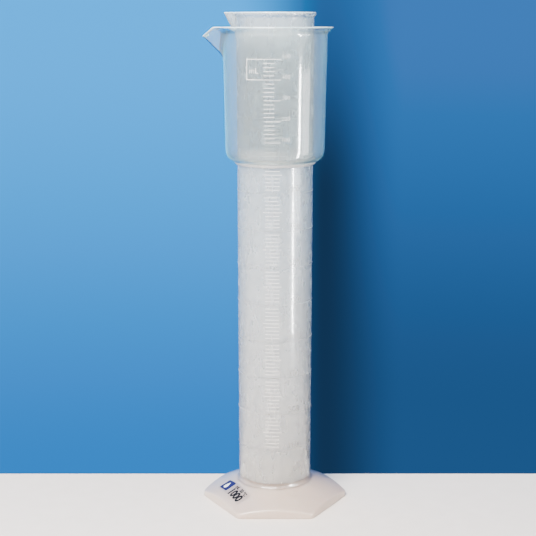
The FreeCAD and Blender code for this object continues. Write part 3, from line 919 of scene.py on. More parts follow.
@dataclass
class MeasuringTube:
    """The tall tapered tube with its beaded rim, pouring lip and raised scale."""

    finish: bpy.types.Material
    # The rim's own finish is a painted bright edge highlight.
    edge_finish: bpy.types.Material
    # The marks', rings' and numbers' finishes are whiter than the wall: painted highlights on the
    # raised ridges.
    mark_finish: bpy.types.Material
    ring_finish: bpy.types.Material
    base_radius: float = 32.6
    top_radius: float = 33.7
    wall: float = 2.0
    rim: float = 439.5
    floor: float = 21.0
    floor_thickness: float = 3.0
    floor_radius: float = 4.0
    skirt_end: float = 12.0
    bead_reach: float = 1.8
    bead_depth: float = 2.4
    lip: Beak = Beak(
        root_height=417.5, root_reach=33.3, lean=0.51, nose_radius=4.0, half_angle=36.0, blend=2.5
    )
    weld_band: tuple[float, float] = (306.6, 316.2)
    relief: float = 0.25
    number_size: float = 5.6
    number_turn: float = 31.0  # degrees to the right of the front
    number_lift: float = 1.3  # gap above the number's ring

    def outside(self, height: float) -> float:
        """Radius of the outer wall at a height."""
        return self.base_radius + (self.top_radius - self.base_radius) * height / self.rim

    @property
    def bore(self) -> TaperedBore:
        """The tapered bore that the scale measures."""
        draft = (self.top_radius - self.base_radius) / self.rim
        return TaperedBore(self.floor, self.outside(self.floor) - self.wall, draft, self.wall)

    def profile(self) -> list[tuple[float, float, float]]:
        """The section of the wall, from the underside's middle round to the floor's middle.

        Returns:
            Points of radius, height and how far inside the outer surface the spout is measured
            there, with -1 where the spout never reaches.
        """
        under = self.floor - self.floor_thickness
        inside = self.outside(self.floor) - self.wall
        points = [(r, under, -1.0) for r in (0.0, 8.0, 20.0, inside - 1.0, inside - 0.3)]
        points += [
            (inside, under - 0.5, -1.0),
            (inside, self.skirt_end + 0.4, -1.0),
            (inside + 0.4, self.skirt_end, -1.0),
        ]
        heel = self.outside(self.skirt_end)
        points += [(heel - 0.4, self.skirt_end, -1.0), (heel, self.skirt_end + 0.4, -1.0)]
        for step in range(1, 41):
            z = self.skirt_end + (self.lip.root_height - 3.0 - self.skirt_end) * step / 40
            points.append((self.outside(z), z, -1.0))
        rim_low = self.rim - self.bead_depth
        swell = rim_low - self.bead_reach
        for step in range(0, 16):
            z = self.lip.root_height - 1.5 + (swell - self.lip.root_height + 0.5) * step / 15
            points.append((self.outside(z), z, 0.0))
        out = self.outside(self.rim) + self.bead_reach
        points += [(self.outside(swell) + 0.25, swell + 0.1, 0.0), (out - 0.6, rim_low - 0.5, 0.0)]
        points += [
            (out - 0.1, rim_low + 0.1, 0.0), (out, rim_low + 0.6, 0.0), (out, self.rim - 0.8, 0.0)
        ]
        points += [
            (out - 0.15, self.rim - 0.35, 0.1),
            (out - 0.5, self.rim - 0.06, 0.4),
            (out - 0.9, self.rim, 0.7),
        ]
        bore = self.outside(self.rim) - self.wall
        points += [
            (bore + 0.7, self.rim, self.wall - 0.5),
            (bore + 0.25, self.rim - 0.12, self.wall - 0.2),
            (bore, self.rim - 0.5, self.wall),
        ]
        for step in range(1, 18):
            z = self.rim - 0.5 + (self.lip.root_height - 2.5 - self.rim + 0.5) * step / 17
            points.append((self.outside(z) - self.wall, z, self.wall))
        for step in range(1, 41):
            z = self.lip.root_height - 3.5 + (
                self.floor + self.floor_radius - self.lip.root_height + 3.5
            ) * step / 40
            points.append((self.outside(z) - self.wall, z, -1.0))
        round_centre = (inside - self.floor_radius, self.floor + self.floor_radius)
        points += [(r, z, -1.0) for r, z in arc(round_centre, self.floor_radius, 0.0, -90.0, 8)[1:]]
        points += [(r, self.floor, -1.0) for r in (20.0, 8.0, 0.0)]
        return points

    def build_shell(self) -> bpy.types.Object:
        """Turns the section round the axis and draws the lip out of it.

        Returns:
            The wall, its rim with a milkier cyan material of its own, a painted bright edge
            highlight.
        """
        turns = azimuths(180, 4, 42.0)
        rows: list[list[Point]] = []
        for radius, height, inset in self.profile():
            if radius == 0.0:
                rows.append([(0.0, 0.0, height)])
                continue
            row: list[Point] = []
            for azimuth in turns:
                reach = radius
                if inset >= 0.0:
                    spout = self.lip.reach(azimuth, height, inset)
                    reach = smooth_max(radius, spout, self.lip.blend) if spout else radius
                row.append(polar(reach, azimuth, height))
            rows.append(row)
        shell = make_piece("tube_shell", *skin(rows, False), self.finish)
        # The rim's top faces take the painted bright edge highlight.
        edge_finish(shell, self.edge_finish, lambda middle: middle.z > self.rim - 1.1)
        return shell

    def build_scale(self, tree: ScaleTree) -> list[bpy.types.Object]:
        """Grows the short marks and the full rings of the scale.

        Args:
            tree: The scale's nodes.

        Returns:
            The marks and the rings.
        """
        band = self.weld_band
        marks = MarkRun(
            "tube_marks",
            count=91,
            first=100.0,
            step=10.0,
            arc=(15.0, 21.5),
            long_arc=(18.5, 28.0),
            long_every=5.0,
            skip_every=10.0,
            relief=self.relief,
            hidden=band,
        )
        whole = (math.degrees(FRONT), 360.0)
        rings = MarkRun(
            "tube_rings",
            count=10,
            first=100.0,
            step=100.0,
            arc=whole,
            long_arc=whole,
            long_every=1.0,
            relief=self.relief,
            width=0.5,
            segments=181,
            hidden=band,
        )
        bore = self.bore
        return [
            bore.raise_marks(tree, marks, self.mark_finish),
            bore.raise_marks(tree, rings, self.ring_finish),
        ]

    def build_numbers(self) -> bpy.types.Object:
        """Raises a number above each ring.

        Returns:
            The numbers as one piece.
        """
        parts: list[Shape] = []
        for volume in range(100, 1100, 100):
            flat = flat_text(str(volume), self.number_size, ROOT + self.relief)
            parts.append(
                self.bore.wrap(flat, self.number_turn, self.bore.level(volume) + self.number_lift)
            )
        return make_piece("tube_numbers", *gathered(parts), self.ring_finish)

    def dress(self, tree: ScaleTree) -> None:
        """Builds every piece of the tube and fixes it to the part.

        Args:
            tree: The scale's nodes.
        """
        settle(self.build_shell(), Slot.TUBE, "graduated_tube")
        for piece in self.build_scale(tree):
            settle(piece, Slot.TUBE)
        settle(self.build_numbers(), Slot.TUBE)


@dataclass
class OverflowCup:
    """The spouted cup sealed round the tube's mouth, with its own raised scale."""

    finish: bpy.types.Material
    # The spout's own finish is tinted cyan and clearer: painted light of the blue backdrop seen
    # through it.
    beak_finish: bpy.types.Material
    # The rim's own finish is a painted bright edge highlight.
    edge_finish: bpy.types.Material
    # The marks, numbers, unit and frame take a whiter finish than the wall: painted highlights on
    # the raised ridges.
    mark_finish: bpy.types.Material
    under: float = 310.6
    height: float = 116.5
    base_radius: float = 43.2
    top_radius: float = 45.45
    wall: float = 1.5
    floor_thickness: float = 1.6
    corner: float = 10.0
    hole: float = 33.73
    flare_reach: float = 5.0
    flare_depth: float = 7.0
    flare_edge: float = 1.4
    tip: float = 63.4
    tip_drop: float = 7.8
    shoulder: float = 54.0
    beak_drop: float = 26.0
    relief: float = 0.25
    number_size: float = 3.4
    number_turn: float = 11.5  # degrees to the right of the front
    number_lift: float = 0.8
    stroke_trim: float = -0.1  # how much thinner the figures' strokes are than the face's own
    unit_size: float = 5.0
    unit_turn: float = -24.0
    unit_level: float = 430.0  # volume at the unit's foot, in mL
    frame_left: float = -25.4
    frame_right: float = -10.6
    frame_levels: tuple[float, float] = (400.0, 500.0)
    frame_line: float = 0.5

    @property
    def rim(self) -> float:
        """Height of the rim above the table."""
        return self.under + self.height

    def outside(self, height: float) -> float:
        """Radius of the outer wall at a height."""
        return self.base_radius + (self.top_radius - self.base_radius) * (
            height - self.under
        ) / self.height

    @property
    def beak(self) -> Beak:
        """The spout, whose underside runs straight from the wall to its tip.

        Returns:
            The spout.
        """
        root = self.rim - self.beak_drop
        lean = (self.tip - self.outside(root)) / (self.beak_drop - self.tip_drop)
        return Beak(
            root, self.outside(root) - 0.3, lean, nose_radius=5.0, half_angle=32.0, blend=4.0
        )

    @property
    def bore(self) -> TaperedBore:
        """The tapered inside that the scale measures.

        Returns:
            The bore, less what its rounded floor takes away.
        """
        floor = self.under + self.floor_thickness
        radius = self.outside(floor) - self.wall
        draft = (self.top_radius - self.base_radius) / self.height
        inner = self.corner - self.wall
        lost = (1 - math.pi / 4) * inner**2 * 2 * math.pi * (radius - inner / 5) / 1000
        return TaperedBore(floor, radius, draft, self.wall, lost)

    def flare(self, height: float) -> float:
        """How far the rim's flare stands out at a height."""
        rise = (height - (self.rim - self.flare_depth)) / (self.flare_depth - self.flare_edge)
        return self.flare_reach * min(max(rise, 0.0), 1.0) ** 2

    def top(self, azimuth: float) -> float:
        """Height of the rim's edge in a direction, lower over the spout.

        Args:
            azimuth: Direction, in radians.

        Returns:
            The height above the table.
        """
        beak, fall = self.beak, self.tip_drop / (self.tip - self.shoulder)
        turn = off_spout(azimuth)
        if turn > 0.6:
            return self.rim
        low, high = self.rim - self.tip_drop - 2.0, self.rim
        for _ in range(24):
            middle = (low + high) / 2
            reach = beak.reach(azimuth, middle, 0.0) * math.cos(turn)
            line = self.rim - fall * smooth_max(0.0, reach - self.shoulder, 1.5)
            low, high = (middle, high) if middle < line else (low, middle)
        return (low + high) / 2

    def build_shell(self) -> bpy.types.Object:
        """Builds the wall ring by ring, from the hole's lower edge round to its upper edge.

        Returns:
            The wall; its rim is a painted bright edge highlight and its spout a painted cyan tint
            of backdrop light, each a material of its own.
        """
        turns = azimuths(180, 4, 42.0)
        tops = [self.top(a) for a in turns]
        beak = self.beak
        floor = self.under + self.floor_thickness
        rows: list[list[Point]] = []

        def plain(profile: Profile) -> None:
            """Adds rings that the spout doesn't reach.

            Args:
                profile: Radius and height of each.
            """
            for radius, height in profile:
                rows.append([polar(radius, a, height) for a in turns])

        def spouted(share: float, inset: float, depth: float) -> None:
            """Adds a ring that the spout may draw out.

            Args:
                share: Its place from the spout's root, 0, to the rim's edge, 1.
                inset: How far inside the outer surface it lies.
                depth: How far below the edge the last ring lies.
            """
            row: list[Point] = []
            for azimuth, top in zip(turns, tops):
                height = beak.root_height - 1.5 + (top - depth - beak.root_height + 1.5) * share
                wall = self.outside(height) + self.flare(height + (self.rim - top)) - inset
                spout = beak.reach(azimuth, height, inset)
                reach = smooth_max(wall, spout, beak.blend) if spout else wall
                row.append(polar(reach, azimuth, height))
            rows.append(row)

        outer = (self.base_radius - self.corner, self.under + self.corner)
        plain([(self.hole, floor - 0.4), (self.hole, self.under + 0.45)])
        plain(arc(outer, self.corner, -87.0, -1.0, 10)[1:])
        low, high = self.under + self.corner + 1.0, beak.root_height - 3.0
        plain([(self.outside(z), z) for z in (low + (high - low) * i / 16 for i in range(17))])
        for step in range(25):
            spouted(step / 24, 0.0, 0.9)
        for inset, depth in (
            (0.12, 0.45), (0.4, 0.1), (0.7, 0.0), (self.wall - 0.4, 0.0), (self.wall - 0.12, 0.1)
        ):
            spouted(1.0, inset, depth)
        for step in range(24, -1, -1):
            spouted(step / 24, self.wall, 0.5)
        inner_radius = self.corner - self.wall
        inner = (self.outside(floor) - self.wall - inner_radius, floor + inner_radius)
        plain(
            [
                (self.outside(z) - self.wall, z)
                for z in (high + (low - high) * i / 16 for i in range(17))
            ]
        )
        plain([(r, z) for r, z in arc(inner, inner_radius, -1.0, -86.0, 10)])
        shell = make_piece("cup_shell", *skin(rows, True), self.finish)
        # The spout's drawn-out wall takes a clearer, cyan copy of the plastic: painted light of the
        # blue backdrop seen through it.
        edge_finish(shell, self.beak_finish, self.is_beak)
        # The rim's edge takes the painted bright edge highlight.
        edge_finish(shell, self.edge_finish, self.is_rim)
        return shell

    def is_beak(self, middle: Vector) -> bool:
        """Tells by its middle whether a face lies on the drawn-out wall of the spout."""
        drawn_out = math.hypot(middle.x, middle.y) > self.outside(middle.z) + 0.6
        return drawn_out and middle.x < 0.0 and abs(middle.y) < 30.0 and middle.z < self.rim - 1.0

    def is_rim(self, middle: Vector) -> bool:
        """Tells by its middle whether a face lies on the rim's edge, which dips at the spout."""
        azimuth = math.atan2(middle.y, middle.x) % (2 * math.pi)
        return middle.z > self.top(azimuth) - 0.95

    def build_scale(self, tree: ScaleTree) -> bpy.types.Object:
        """Grows the cup's short and long marks.

        Args:
            tree: The scale's nodes.

        Returns:
            The marks.
        """
        run = MarkRun(
            "cup_marks",
            count=21,
            first=100.0,
            step=20.0,
            arc=(13.0, 12.0),
            long_arc=(13.0, 18.8),
            long_every=5.0,
            relief=self.relief,
            segments=8,
        )
        return self.bore.raise_marks(tree, run, self.mark_finish)

    def build_numbers(self) -> bpy.types.Object:
        """Raises a number beside each long mark, and the framed unit beside the scale.

        Returns:
            The numbers, unit and frame as one piece.
        """
        bore, thick, parts = self.bore, ROOT + self.relief, []
        for volume in range(100, 600, 100):
            flat = flat_text(str(volume), self.number_size, thick, self.stroke_trim)
            parts.append(bore.wrap(flat, self.number_turn, bore.level(volume) + self.number_lift))
        flat = flat_text("mL", self.unit_size, thick, self.stroke_trim)
        parts.append(bore.wrap(flat, self.unit_turn, bore.level(self.unit_level)))
        low, high = (bore.level(volume) for volume in self.frame_levels)
        left, right, line = self.frame_left, self.frame_right, self.frame_line
        for bottom, end, top in (
            (low - line / 2, right, low + line / 2),
            (high - line / 2, right, high + line / 2),
            (low, left + line, high),
        ):
            flat = flat_bar(left, 0.0, end, top - bottom, thick)
            parts.append(bore.wrap(flat, 0.0, bottom))
        return make_piece("cup_numbers", *gathered(parts), self.mark_finish)

    def dress(self, tree: ScaleTree) -> None:
        """Builds every piece of the cup and fixes it to the part.

        Args:
            tree: The scale's nodes.
        """
        settle(self.build_shell(), Slot.CUP, "overflow_cup")
        settle(self.build_scale(tree), Slot.CUP)
        settle(self.build_numbers(), Slot.CUP)


@dataclass
class HexagonalFoot:
    """The hollow foot: a hexagon whose top is a cone, with a socket for the tube."""

    finish: bpy.types.Material
    across_flats: float = 115.2
    corner_radius: float = 7.0
    side_height: float = 8.2
    slope: float = 25.0
    wall: float = 2.4
    web: float = 2.4
    socket: float = 32.75
    boss: float = 30.53
    seat: float = 18.0
    skirt_end: float = 12.0
    edge_round: float = 1.5

    def cone(self, radius: float) -> float:
        """Height of the conical top at a distance from the axis."""
        return self.side_height - (radius - self.across_flats / 2) * math.tan(
            math.radians(self.slope)
        )

    def outline(self, azimuth: float, inset: float) -> float:
        """Distance from the axis to the hexagon's side, with rounded corners.

        Args:
            azimuth: Direction, in radians.
            inset: How far inside the outer outline it is measured.

        Returns:
            The distance.
        """
        flat = self.across_flats / 2 - inset
        corner = self.corner_radius - inset
        sixth = math.pi / 3
        from_corner = abs((azimuth + sixth / 2) % sixth - sixth / 2)
        centre = (flat - corner) / math.cos(math.pi / 6)
        # The side's straight part ends where the corner's arc starts.
        edge = math.atan2(corner * math.sin(math.pi / 6), centre + corner * math.cos(math.pi / 6))
        if from_corner >= edge:
            return flat / math.cos(math.pi / 6 - from_corner)
        return centre * math.cos(from_corner) + math.sqrt(
            corner**2 - (centre * math.sin(from_corner)) ** 2
        )

    def build_shell(self) -> bpy.types.Object:
        """Builds the foot ring by ring, from the middle of its seat over the cone and underneath.

        Returns:
            The foot's shell.
        """
        turns = [math.radians(i * 1.25) for i in range(288)]
        rows: list[list[Point]] = []

        def ring(reach: Callable[[float], float], height: Callable[[float, float], float]) -> None:
            """Adds one ring.

            Args:
                reach: Its distance from the axis at an azimuth.
                height: Its height at an azimuth and distance.
            """
            row: list[Point] = []
            for azimuth in turns:
                radius = reach(azimuth)
                row.append(polar(radius, azimuth, height(azimuth, radius)))
            rows.append(row)

        def round_ring(radius: float, height: float) -> None:
            """Adds a plain circle."""
            ring(lambda _: radius, lambda _, __: height)

        rows.append([(0.0, 0.0, self.seat)])
        for radius, height in (
            (15.0, self.seat),
            (self.boss - 0.5, self.seat),
            (self.boss, self.seat - 0.5),
            (self.boss, self.skirt_end),
            (self.socket, self.skirt_end),
            (self.socket, self.cone(self.socket) - 0.4),
            (self.socket + 0.4, self.cone(self.socket + 0.4)),
        ):
            round_ring(radius, height)
        soft = self.edge_round
        for step in range(1, 13):
            share = step / 12
            ring(
                lambda a, s=share: self.socket + 0.4 + (
                    self.outline(a, soft) - self.socket - 0.4
                ) * s,
                lambda _, r: self.cone(r),
            )
        for inset, fall in ((0.45, 0.30), (0.12, 0.75), (0.0, 1.4)):
            ring(
                lambda a, i=inset: self.outline(a, soft * i),
                lambda a, _, f=fall: self.cone(self.outline(a, soft)) - soft * f,
            )
        for inset, level in (
            (0.0, 0.9), (0.12, 0.3), (0.5, 0.0), (self.wall - 0.4, 0.0), (self.wall, 0.4)
        ):
            ring(lambda a, i=inset: self.outline(a, i), lambda _, __, h=level: h)
        drop = self.wall / math.cos(math.radians(self.slope))
        for step in range(0, 9):
            share = 1 - step / 8
            hub = self.socket + self.wall
            ring(
                lambda a, s=share: hub + (self.outline(a, self.wall) - hub) * s,
                lambda _, r: self.cone(r) - drop,
            )
        round_ring(self.socket + self.wall, self.skirt_end - self.web)
        round_ring(self.boss - self.wall, self.skirt_end - self.web)
        round_ring(self.boss - self.wall, self.seat - self.web)
        for radius, height in ((2.6, 0.0), (2.3, -0.7), (1.8, -0.8)):
            round_ring(radius, self.seat - self.web + height)
        rows.append([(0.0, 0.0, self.seat - self.web - 0.8)])
        points, faces = skin(rows, False)
        return make_piece(
            "foot_shell", points, [tuple(reversed(f)) for f in faces], self.finish, 32.0
        )

    def dress(self) -> None:
        """Builds the foot and fixes it to the part."""
        settle(self.build_shell(), Slot.FOOT, "hexagonal_foot")


@dataclass
class WeldBead:
    """A hand-laid bead of melted filler in the corner between two pieces."""

    name: str
    node: str
    finish: bpy.types.Material
    wall_radius: float
    height: float
    leg: float
    upwards: bool = True
    face_lift: float = 0.0  # how far the face rises from the bead's inner to its outer edge
    seed: float = 0.0
    fullness: float = 0.12  # bulge of the free side as a share of the leg, hollow below 0

    LEG_SHARE = 0.86  # the leg's mean length, as a share of the room
    LUMPS = 0.10
    LUMP_RATE = 6.0
    RIPPLES = 0.04
    RIPPLE_RATE = 5.0

    def build(self) -> bpy.types.Object:
        """Builds the bead with the ripples of a moving nozzle.

        Returns:
            The bead.
        """
        rows: list[list[Point]] = []
        turns = [math.radians(i) for i in range(360)]
        way = 1.0 if self.upwards else -1.0
        for step in range(9):
            share = step / 8
            row: list[Point] = []
            for azimuth in turns:
                around = Vector((math.cos(azimuth), math.sin(azimuth), 0.0)) * self.LUMP_RATE
                lump = noise.noise(around + Vector((0, 0, self.seed)))
                ripple = noise.noise(around * self.RIPPLE_RATE + Vector((0, 0, self.seed + share)))
                leg = self.leg * (self.LEG_SHARE + self.LUMPS * lump)
                crown = math.sin(math.pi * share) * leg * (self.fullness + self.RIPPLES * ripple)
                out = leg * (1 - share) + crown
                up = leg * share + crown
                lift = self.face_lift * (1 - share)
                row.append(polar(self.wall_radius + out, azimuth, self.height + way * up + lift))
            rows.append(row)
        rows.append([polar(self.wall_radius, a, self.height) for a in turns])
        if not self.upwards:
            rows.reverse()
        points, faces = skin(rows, True)
        return make_piece(self.name, points, faces, self.finish, 70.0)

    def dress(self) -> None:
        """Builds the bead and fixes it to the part."""
        settle(self.build(), Slot.WELD, self.node)


@dataclass
class FootLabel:
    """A thin film on the foot's cone, printed with a plain drop, a number and a unit."""

    foot: HexagonalFoot
    film: bpy.types.Material
    blue: bpy.types.Material
    black: bpy.types.Material
    white: bpy.types.Material
    azimuth: float = 212.6
    askew: float = -6.0
    radius: float = 44.0
    length: float = 42.0
    width: float = 13.0
    thickness: float = 0.12
    trim: float = 0.2  # how much smaller the film is than its blank, each side
    rounding: float = 1.2

    def lay(self, x: float, y: float, lift: float) -> Point:
        """Places a point of the flat label on the cone.

        Args:
            x: Distance along the label, from its middle.
            y: Distance across it, towards the tube.
            lift: Height above the cone.

        Returns:
            The point.
        """
        middle, turn = math.radians(self.azimuth), math.radians(self.azimuth + self.askew)
        px = self.radius * math.cos(middle) - y * math.cos(turn) - x * math.sin(turn)
        py = self.radius * math.sin(middle) - y * math.sin(turn) + x * math.cos(turn)
        return (px, py, self.foot.cone(math.hypot(px, py)) + lift)

    def patch(
        self,
        name: str,
        corners: tuple[float, float, float, float],
        lifts: tuple[float, float],
        finish: bpy.types.Material,
    ) -> bpy.types.Object:
        """A thin rounded rectangle that follows the cone.

        Args:
            name: Its name.
            corners: Lowest x, lowest y, highest x and highest y.
            lifts: Height of its back and front above the cone.
            finish: Its material.

        Returns:
            The object.
        """
        across, along, rounding = 14, 40, self.rounding
        points: list[Point] = []
        for lift in lifts:
            for j in range(across + 1):
                for i in range(along + 1):
                    u, v = i / along, j / across
                    x = corners[0] + (corners[2] - corners[0]) * u
                    y = corners[1] + (corners[3] - corners[1]) * v
                    near = max(0.0, rounding - min(y - corners[1], corners[3] - y))
                    pull = rounding - math.sqrt(max(rounding**2 - near**2, 0.0))
                    x += pull * (1 - 2 * u)
                    points.append(self.lay(x, y, lift))
        layer = (across + 1) * (along + 1)
        faces: list[Face] = []
        for j in range(across):
            for i in range(along):
                a = j * (along + 1) + i
                faces.append((a, a + along + 1, a + along + 2, a + 1))
                faces.append(
                    (a + layer, a + layer + 1, a + layer + along + 2, a + layer + along + 1)
                )
        edge = list(range(along)) + [j * (along + 1) + along for j in range(across)]
        edge += [across * (along + 1) + i for i in range(along, 0, -1)] + [
            j * (along + 1) for j in range(across, 0, -1)
        ]
        for a, b in zip(edge, edge[1:] + edge[:1]):
            faces.append((a, b, b + layer, a + layer))
        return make_piece(name, points, faces, finish)

    def lettering(
        self, name: str, words: str, size: float, at: tuple[float, float], bold: float
    ) -> bpy.types.Object:
        """Printed words that follow the cone, their feet towards the tube's far side.

        Args:
            name: The piece's name.
            words: What it says.
            size: Height of a figure.
            at: Where its middle foot stands on the label.
            bold: How far its strokes are fattened.

        Returns:
            The object.
        """
        points, faces = flat_text(words, size, 0.03, bold)
        laid = [self.lay(at[0] + x, at[1] + y, self.thickness + 0.02 + z) for x, y, z in points]
        return make_piece(name, laid, faces, self.black)

    def drop(self, name: str, at: tuple[float, float], size: float) -> bpy.types.Object:
        """A printed drop whose point faces the tube.

        Args:
            name: The piece's name.
            at: Its middle on the label.
            size: Half of its length.

        Returns:
            The object.
        """
        count = 40
        back, front = self.thickness + 0.045, self.thickness + 0.07
        points: list[Point] = []
        for lift in (back, front):
            for i in range(count):
                turn = 2 * math.pi * i / count
                side = math.sin(turn) * abs(math.sin(turn / 2)) ** 1.5
                points.append(self.lay(at[0] + size * side, at[1] + size * math.cos(turn), lift))
        faces: list[Face] = [tuple(range(count)), tuple(reversed(range(count, 2 * count)))]
        faces += [(i, i + count, (i + 1) % count + count, (i + 1) % count) for i in range(count)]
        return make_piece(name, points, faces, self.white)

    def dress(self) -> None:
        """Builds the film and its print and fixes them to the part."""
        left, low = self.trim - self.length / 2, self.trim - self.width / 2
        film = self.patch(
            "label_film", (left, low, -left, -low), (-0.05, self.thickness), self.film
        )
        settle(film, Slot.LABEL, "foot_label")
        top = (self.thickness + 0.01, self.thickness + 0.04)
        settle(
            self.patch(
                "label_block", (left + 0.4, low + 0.9, left + 14.6, -low - 0.9), top, self.blue
            ),
            Slot.LABEL,
        )
        settle(self.drop("label_drop", (left + 7.0, 0.0), 3.6), Slot.LABEL)
        settle(self.lettering("label_number", "1000", 6.9, (7.6, -5.8), 0.55), Slot.LABEL)
        settle(self.lettering("label_unit", "mL  20 °C", 3.1, (7.6, 2.2), 0.2), Slot.LABEL)


# Stage


@dataclass(frozen=True)
class Lamp:
    """A rectangular soft light that is aimed at the tube and hidden from the camera."""

    name: str
    place: Point
    aim_height: float
    size: tuple[float, float]
    watts: float
    colour: Colour = (1.0, 1.0, 1.0)
    mirrored: bool = True  # whether glossy skins show it
    lights_walls: bool = True  # whether it lights the walls, or only shines on their skins

    def hang(self) -> None:
        """Makes the light and turns it to the tube."""
        light = bpy.data.lights.new(self.name, "AREA")
        light.shape = "RECTANGLE"
        light.size, light.size_y = self.size[0] * MM, self.size[1] * MM
        light.energy = self.watts
        light.color = self.colour
        holder = bpy.data.objects.new(self.name, light)
        holder.location = [c * MM for c in self.place]
        holder.visible_glossy = self.mirrored
        holder.visible_diffuse = self.lights_walls
        holder.visible_transmission = False
        holder.visible_camera = False
        way = Vector((0.0, 0.0, self.aim_height)) - Vector(self.place)
        holder.rotation_euler = way.to_track_quat("-Z", "Y").to_euler()
        bpy.context.scene.collection.objects.link(holder)


@dataclass(frozen=True)
class Stage:
    """A pale table, a blue backdrop colour with painted light and a painted shadow of the object,
    soft lights and the camera.
    """

    camera_place: Point = (-6.2, -1090.8, 431.0)
    tilt: float = 11.2
    lens: float = 83.4
    table_back: float = 62.0
    table_reach: float = 2500.0
    table_edge: float = 8.0  # radius of its back edge
    table_depth: float = 40.0
    table_gap: float = 0.02  # how far it lies below the foot
    lamps: tuple[Lamp, ...] = (
        Lamp(
            "narrow_strip",
            place=(366.0, -261.0, 209.0),
            aim_height=209.0,
            size=(28.0, 314.0),
            watts=5.4,
            lights_walls=False,
        ),
        Lamp(
            "broad_strip",
            place=(430.0, -150.0, 270.0),
            aim_height=270.0,
            size=(150.0, 190.0),
            watts=0.9,
            lights_walls=False,
        ),
        Lamp(
            "overhead",
            place=(-450.0, -1000.0, 1200.0),
            aim_height=200.0,
            size=(700.0, 700.0),
            watts=90.0,
            colour=(1.0, 0.94, 0.88),
        ),
        Lamp(
            "fill",
            place=(-1100.0, -1200.0, 700.0),
            aim_height=200.0,
            size=(1200.0, 1200.0),
            watts=20.0,
            colour=(1.0, 0.98, 0.96),
            mirrored=False,
        ),
    )

    def floor(self) -> bpy.types.Object:
        """A pale matt table top with a rounded back edge.

        Returns:
            The table top.
        """
        tree = ShaderTree("pale_table")
        shader = tree.node("ShaderNodeBsdfPrincipled")
        weave = tree.ramp(tree.noise(60.0, 5.0), 0.3, 0.7, 0.0, 1.0)
        tree.join(
            tree.tint(weave, (0.86, 0.79, 0.73), (0.90, 0.83, 0.77)), shader.inputs["Base Color"]
        )
        shader.inputs["Roughness"].default_value = 0.85
        finish = tree.surface(shader)
        back, reach, edge = self.table_back, self.table_reach, self.table_edge
        profile = [(-reach, 0.0), (back - edge, 0.0)]
        for turn in range(10, 91, 10):
            angle = math.radians(turn)
            profile.append((back - edge + edge * math.sin(angle), -edge + edge * math.cos(angle)))
        profile += [(back, -self.table_depth), (-reach, -self.table_depth)]
        rows = [[(x, y, z - self.table_gap) for x in (-reach, reach)] for y, z in profile]
        points = [p for row in rows for p in row]
        pairs = [(2 * i, 2 * ((i + 1) % len(rows))) for i in range(len(rows))]
        faces = [(a, a + 1, b + 1, b) for a, b in pairs]
        return make_piece("table_top", points, faces, finish)

    def world(self) -> None:
        """Fills the room: a blue card behind with painted light, bright on the left and darker low,
        a painted shadow of the object just right of it, and pale walls in front.
        """
        world = bpy.data.worlds.new("room")
        bpy.context.scene.world = world
        world.use_nodes = True
        room = NodeMaker(world.node_tree)
        way = room.node("ShaderNodeSeparateXYZ")
        room.join(room.node("ShaderNodeTexCoord").outputs["Generated"], way.inputs[0])

        def blend(axis: str, low: float, high: float, a: Value, b: Value) -> Socket:
            """Changes softly from one colour to another along an axis of the direction.

            Args:
                axis: The axis.
                low: Where the change starts.
                high: Where it ends.
                a: Colour or socket before it.
                b: Colour or socket after it.

            Returns:
                The blended colour.
            """
            ease = room.node("ShaderNodeMapRange", interpolation_type="SMOOTHSTEP")
            ease.inputs["From Min"].default_value = low
            ease.inputs["From Max"].default_value = high
            room.join(way.outputs[axis], ease.inputs["Value"])
            return room.tint(ease.outputs[0], a, b)

        # Painted light falloff: the card is brightest left of the object and high up, darker
        # towards the bottom.
        lit = blend("Z", -0.36, 0.02, (0.012, 0.24, 0.80), (0.0, 0.62, 1.68))
        # Painted shadow of the object on the card just to its right.
        shaded = blend("Z", -0.14, 0.05, (0.010, 0.036, 0.095), (0.03, 0.14, 0.42))
        # Further right the card lightens again past the painted shadow.
        far = blend("Z", -0.30, 0.02, (0.02, 0.09, 0.26), (0.04, 0.20, 0.62))
        right = blend("X", 0.045, 0.11, shaded, far)
        card = blend("X", -0.03, 0.045, lit, right)
        front = blend("Y", -0.05, 0.45, (0.80, 0.80, 0.80), card)
        background = world.node_tree.nodes["Background"]
        room.join(front, background.inputs["Color"])
        background.inputs["Strength"].default_value = 1.0

    def camera(self) -> None:
        """Places the camera."""
        data = bpy.data.cameras.new("camera")
        data.lens = self.lens
        data.sensor_width = 36.0
        data.clip_end = 50.0
        holder = bpy.data.objects.new("camera", data)
        holder.location = [c * MM for c in self.camera_place]
        holder.rotation_euler = (math.radians(90.0 - self.tilt), 0.0, 0.0)
        bpy.context.scene.collection.objects.link(holder)
        bpy.context.scene.camera = holder

    def build(self) -> None:
        """Makes the whole stage."""
        self.floor()
        self.world()
        for lamp in self.lamps:
            lamp.hang()
        self.camera()


